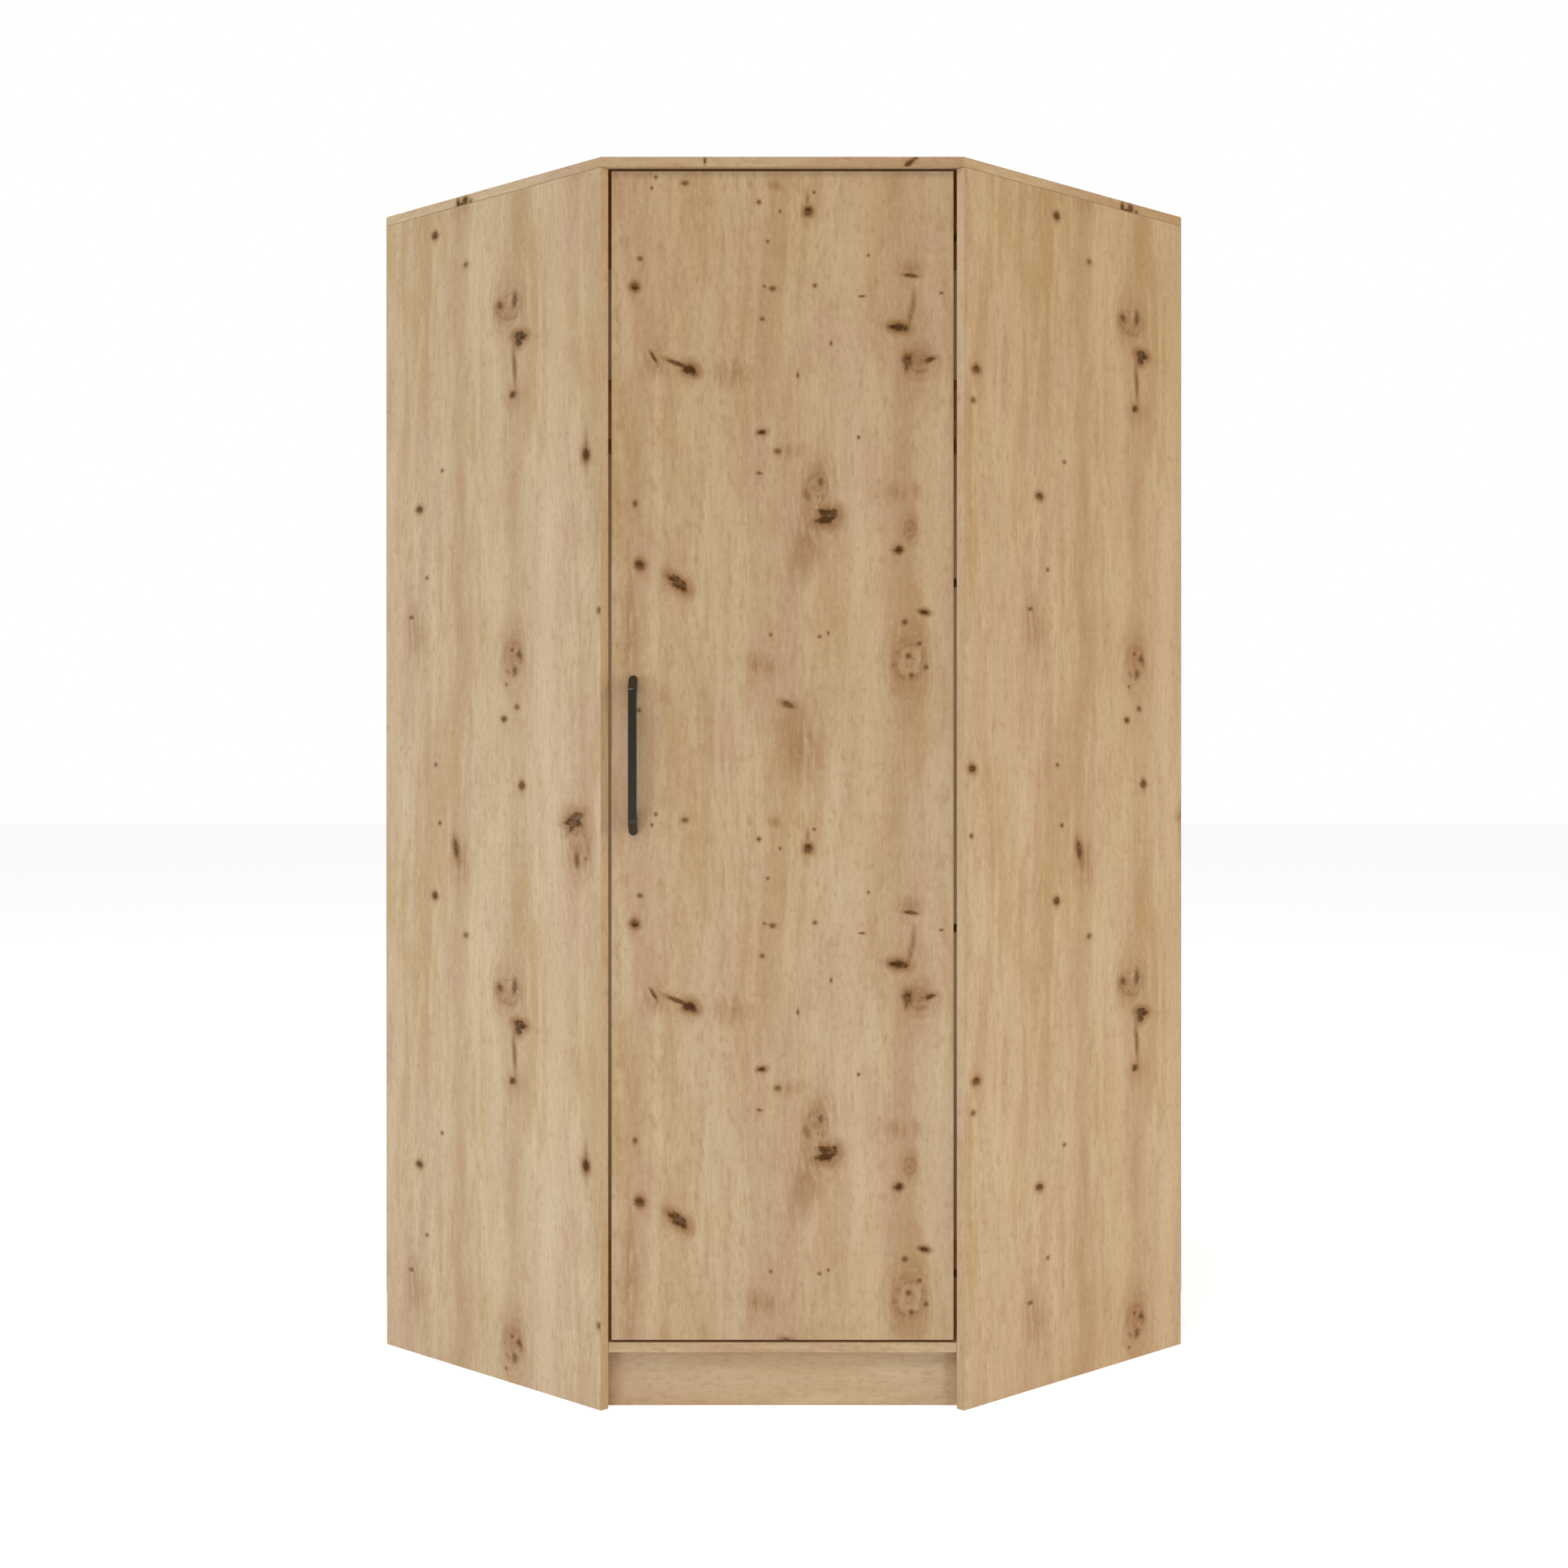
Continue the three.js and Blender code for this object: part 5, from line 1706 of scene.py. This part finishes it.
@dataclass(frozen=True)
class Fixings:
    """The nails round the hardboard backs, and the screws of the brackets and of the rail's hangers."""

    nail: FastenerHeads = FastenerHeads("back_nails", 2.3, 0.75, 0.7)
    nail_rows_mm: tuple[float, ...] = (98, 1992)
    row_ends_mm: tuple[tuple[float, float], ...] = ((20, 480), (520, 980))
    nails_in_row: int = 4
    nail_columns_mm: tuple[float, ...] = (50, 992)
    column_ends_mm: tuple[float, float] = (240, 1850)
    nails_in_column: int = 11
    bracket_screw: FastenerHeads = FastenerHeads("bracket_screws", 4.2, 0.6, 2.0, 4.2)
    # Where the wall brackets' screws sit at each wall: along it, off it and up.
    wall_bracket_mm: tuple[float, float, float] = (300, 27.3, 1981.2)
    plinth_brackets_mm: tuple[float, ...] = (-160, -140, 140, 160)
    # A plinth bracket's leg is so thick, and its holes lie so far from its bend.
    leg_mm: float = 2.0
    leg_hole_mm: float = 20.4
    hanger_screw: FastenerHeads = FastenerHeads("hanger_screws", 3.6, 0.6, 1.8, 3.6)
    hangers_mm: tuple[float, ...] = (-350, 350)
    hanger_screws_mm: tuple[float, ...] = (-170.5, -136.5)
    hanger_under_mm: float = 1636.7

    def nails(self) -> list[Spot]:
        """Finds where the nails sit.

        Returns:
            Rows along the top and bottom panels, and columns on posts and side panels.
        """
        spots = []
        for wall in (WallFrame(-1), WallFrame(1)):
            for height in self.nail_rows_mm:
                for first, last in self.row_ends_mm:
                    for along in np.linspace(first, last, self.nails_in_row):
                        spots.append(Spot(wall.point(along, 0.0, height), wall.outward))
            for along in self.nail_columns_mm:
                for height in np.linspace(*self.column_ends_mm, self.nails_in_column):
                    spots.append(Spot(wall.point(along, 0.0, height), wall.outward))
        return spots

    def bracket_screws(self) -> list[Spot]:
        """Finds where the brackets' screws sit.

        Returns:
            One under each wall bracket, and one on each leg of the plinth brackets at each of their places.
        """
        spots = [Spot(WallFrame(side).point(*self.wall_bracket_mm), DOWN) for side in (-1, 1)]
        low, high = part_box("left_plinth_bracket")
        leg, hole = self.leg_mm * MM, self.leg_hole_mm * MM
        for x in self.plinth_brackets_mm:
            spots.append(Spot(Vector((x * MM, low.y + leg, high.z - hole)), BACK))
            spots.append(Spot(Vector((x * MM, low.y + hole, high.z - leg)), DOWN))
        return spots

    def hanger_screws(self) -> list[Spot]:
        """Finds where the screws of the rail's hangers sit."""
        places = ((x, y, self.hanger_under_mm) for x in self.hangers_mm for y in self.hanger_screws_mm)
        return [Spot(Vector(place) * MM, DOWN) for place in places]

    def build(self, finishes: Finishes) -> None:
        """Builds the nails and the screws."""
        self.nail.build(self.nails(), finishes, Body.CARCASS, Slot.ZINC)
        self.bracket_screw.build(self.bracket_screws(), finishes, Body.CARCASS, Slot.NICKEL)
        self.hanger_screw.build(self.hanger_screws(), finishes, Body.CARCASS, Slot.NICKEL)


@dataclass(frozen=True)
class Fittings:
    """What holds the boards together and up: cams, shelf pins, brackets, rail, hangers and handle screws."""

    # What each side has of each kind: its name, the finish, and the numbers of the pieces.
    on_each_side: tuple[tuple[str, Slot, tuple[str, ...]], ...] = (
        ("top_cam", Slot.ZINC, ("_1", "_2")),
        ("bottom_cam", Slot.ZINC, ("_1", "_2")),
        ("shelf_pin", Slot.NICKEL, ("_1", "_2")),
        ("post_shelf_pin", Slot.NICKEL, ("",)),
        ("wall_bracket", Slot.NICKEL, ("",)),
        ("plinth_bracket", Slot.NICKEL, ("",)),
        ("rail_hanger", Slot.CHROME, ("",)),
        ("rail_end_cap", Slot.PLASTIC, ("",)),
    )

    def build(self, finishes: Finishes) -> None:
        """Builds every fitting in its slot's finish."""
        for kind, slot, endings in self.on_each_side:
            for side in ("left_", "right_"):
                for ending in endings:
                    SmallPiece(side + kind + ending, Body.CARCASS, slot).build(finishes)
        SmallPiece("clothes_rail", Body.CARCASS, Slot.CHROME).build(finishes)
        for number in (1, 2):
            SmallPiece(f"handle_screw_{number}", Body.DOOR, Slot.NICKEL).build(finishes)


@dataclass(frozen=True)
class Lamp:
    """A soft lamp: where it hangs, how wide it is, how strong, and its slight tint."""

    name: str
    place: tuple[float, float, float]
    size: float
    watts: float
    tint: str

    def light(self, kind: str) -> bpy.types.Object:
        """Makes the lamp, unseen by the camera.

        Args:
            kind: AREA for a square panel, or POINT for a bulb.

        Returns:
            The lamp in its place, unturned.
        """
        data = bpy.data.lights.new(self.name, kind)
        data.energy = self.watts
        data.color = linear(self.tint)[:3]
        lamp = bpy.data.objects.new(self.name, data)
        lamp.location = self.place
        lamp.visible_camera = False
        bpy.context.scene.collection.objects.link(lamp)
        return lamp

    def hang(self, target: Vector) -> None:
        """Hangs the lamp as a square panel that is turned to a target."""
        lamp = self.light("AREA")
        lamp.data.size = self.size
        lamp.rotation_euler = (target - lamp.location).to_track_quat("-Z", "Y").to_euler()

    def glow(self) -> None:
        """Hangs the lamp as a small bulb that shines all round and shows in no mirror."""
        lamp = self.light("POINT")
        lamp.data.shadow_soft_size = self.size
        lamp.visible_glossy = False


@dataclass(frozen=True)
class Studio:
    """A white room with soft light, a little cooler from the left, and a pale floor that keeps the shadow."""

    ambient: float = 0.35
    ambient_behind: float = 1.05
    cool: str = "FCFEFF"
    warm: str = "FFFEFA"
    white: str = "FFFFFF"
    dim_end: float = 0.1
    target: tuple[float, float, float] = (0, 0, 1)
    lamps: tuple[Lamp, ...] = (
        Lamp("high_lamp", (-2.0, -6.0, 8.5), 2.4, 225, "FFF9E3"),
        Lamp("left_lamp", (-7.0, -2.2, 2.6), 3.5, 226, "BAE0FF"),
        Lamp("right_lamp", (7.0, -2.2, 2.6), 3.5, 148, "F7FFEF"),
        Lamp("low_left_lamp", (-1.4, -1.7, 0.15), 0.5, 12, "B8DAFF"),
        Lamp("low_right_lamp", (1.4, -1.7, 0.15), 0.5, 12, "B8DAFF"),
    )
    # The light that finds its way into the wardrobe, so that the door's gaps show wood and not black.
    inside: tuple[Lamp, ...] = (
        Lamp("low_inside", (0.0, 0.0, 0.6), 0.1, 0.85, "FFE6C0"),
        Lamp("middle_inside", (0.0, 0.0, 1.25), 0.1, 0.85, "FFE6C0"),
        Lamp("hat_inside", (0.0, 0.05, 1.88), 0.12, 0.55, "FFE6C0"),
    )
    floor_size: float = 60.0
    floor_below_mm: float = 0.3
    floor_white: str = "F2F2F2"
    floor_glow: float = 0.6

    def world(self) -> None:
        """Makes the room: white for the eye and for gloss, and even light on the surfaces."""
        world = bpy.data.worlds.new("studio")
        add = empty_tree(world)
        path = add("ShaderNodeLightPath").outputs
        mirrored = {0: path["Is Glossy Ray"], 1: path["Is Transmission Ray"]}
        bounced = add("ShaderNodeMath", mirrored, operation="MAXIMUM")
        seen = add("ShaderNodeMath", {0: path["Is Camera Ray"], 1: bounced}, operation="MAXIMUM")
        direction = add("ShaderNodeTexCoord").outputs["Generated"]
        sideways, backwards, _ = add("ShaderNodeSeparateXYZ", {0: direction}).outputs
        side = add("ShaderNodeMapRange", {0: sideways, 1: -0.5, 2: 0.5})
        tints = {0: side, MIX_FIRST: linear(self.cool), MIX_SECOND: linear(self.warm)}
        sky = add("ShaderNodeMix", tints, **COLOURS)
        # The room is lighter behind the wardrobe, where no lamp hangs, so that its rear shows too.
        levels = {0: backwards, 1: 0.55, 2: 1.0, 3: self.ambient, 4: self.ambient_behind}
        strength = add("ShaderNodeMapRange", levels)
        even = add("ShaderNodeBackground", {"Color": sky, "Strength": strength})
        # Gloss that looks back past the camera meets the dim end of the room.
        gloss = add("ShaderNodeMapRange", {0: backwards, 1: -0.6, 2: 0.0, 3: self.dim_end})
        shine = add("ShaderNodeMath", {0: path["Is Camera Ray"], 1: gloss}, operation="MAXIMUM")
        white = add("ShaderNodeBackground", {"Color": linear(self.white), "Strength": shine})
        mixed = add("ShaderNodeMixShader", {0: seen, 1: even, 2: white})
        add("ShaderNodeOutputWorld", {"Surface": mixed})
        bpy.context.scene.world = world

    def floor(self) -> None:
        """Lays the floor: white paper that the eye sees a little brighter, to meet the background."""
        half = self.floor_size / 2
        mesh = bpy.data.meshes.new("floor")
        square = ((-half, -half), (half, -half), (half, half), (-half, half))
        mesh.from_pydata([(x, y, -self.floor_below_mm * MM) for x, y in square], [], [(0, 1, 2, 3)])
        material = bpy.data.materials.new("studio_floor")
        add = empty_tree(material)
        path = add("ShaderNodeLightPath").outputs
        paper = add("ShaderNodeBsdfDiffuse", {"Color": linear(self.floor_white)})
        glow = add("ShaderNodeEmission", {"Color": linear(self.white), "Strength": self.floor_glow})
        both = add("ShaderNodeAddShader", {0: paper, 1: glow})
        eye = {0: path["Is Camera Ray"], 1: path["Is Glossy Ray"]}
        seen = add("ShaderNodeMath", eye, operation="MAXIMUM")
        mixed = add("ShaderNodeMixShader", {0: seen, 1: paper, 2: both})
        add("ShaderNodeOutputMaterial", {"Surface": mixed})
        mesh.materials.append(material)
        mesh_object("floor", mesh)

    def build(self) -> None:
        """Builds the room and sets how the picture shows colours."""
        bpy.context.scene.view_settings.view_transform = "Standard"
        self.world()
        self.floor()
        for lamp in self.lamps:
            lamp.hang(Vector(self.target))
        for lamp in self.inside:
            lamp.glow()


def main() -> None:
    """Builds the camera, the room and the wardrobe."""
    logging.basicConfig(level=logging.INFO, format="%(name)s: %(message)s")
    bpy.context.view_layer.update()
    camera = PhotoCamera()
    camera.build()
    Studio().build()
    finishes = Finishes()
    for group in (Boards(camera), Backs(), BowHandle(), Hinges(), Fittings(), Fixings()):
        group.build(finishes)
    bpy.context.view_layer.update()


if __name__ == "__main__":
    main()
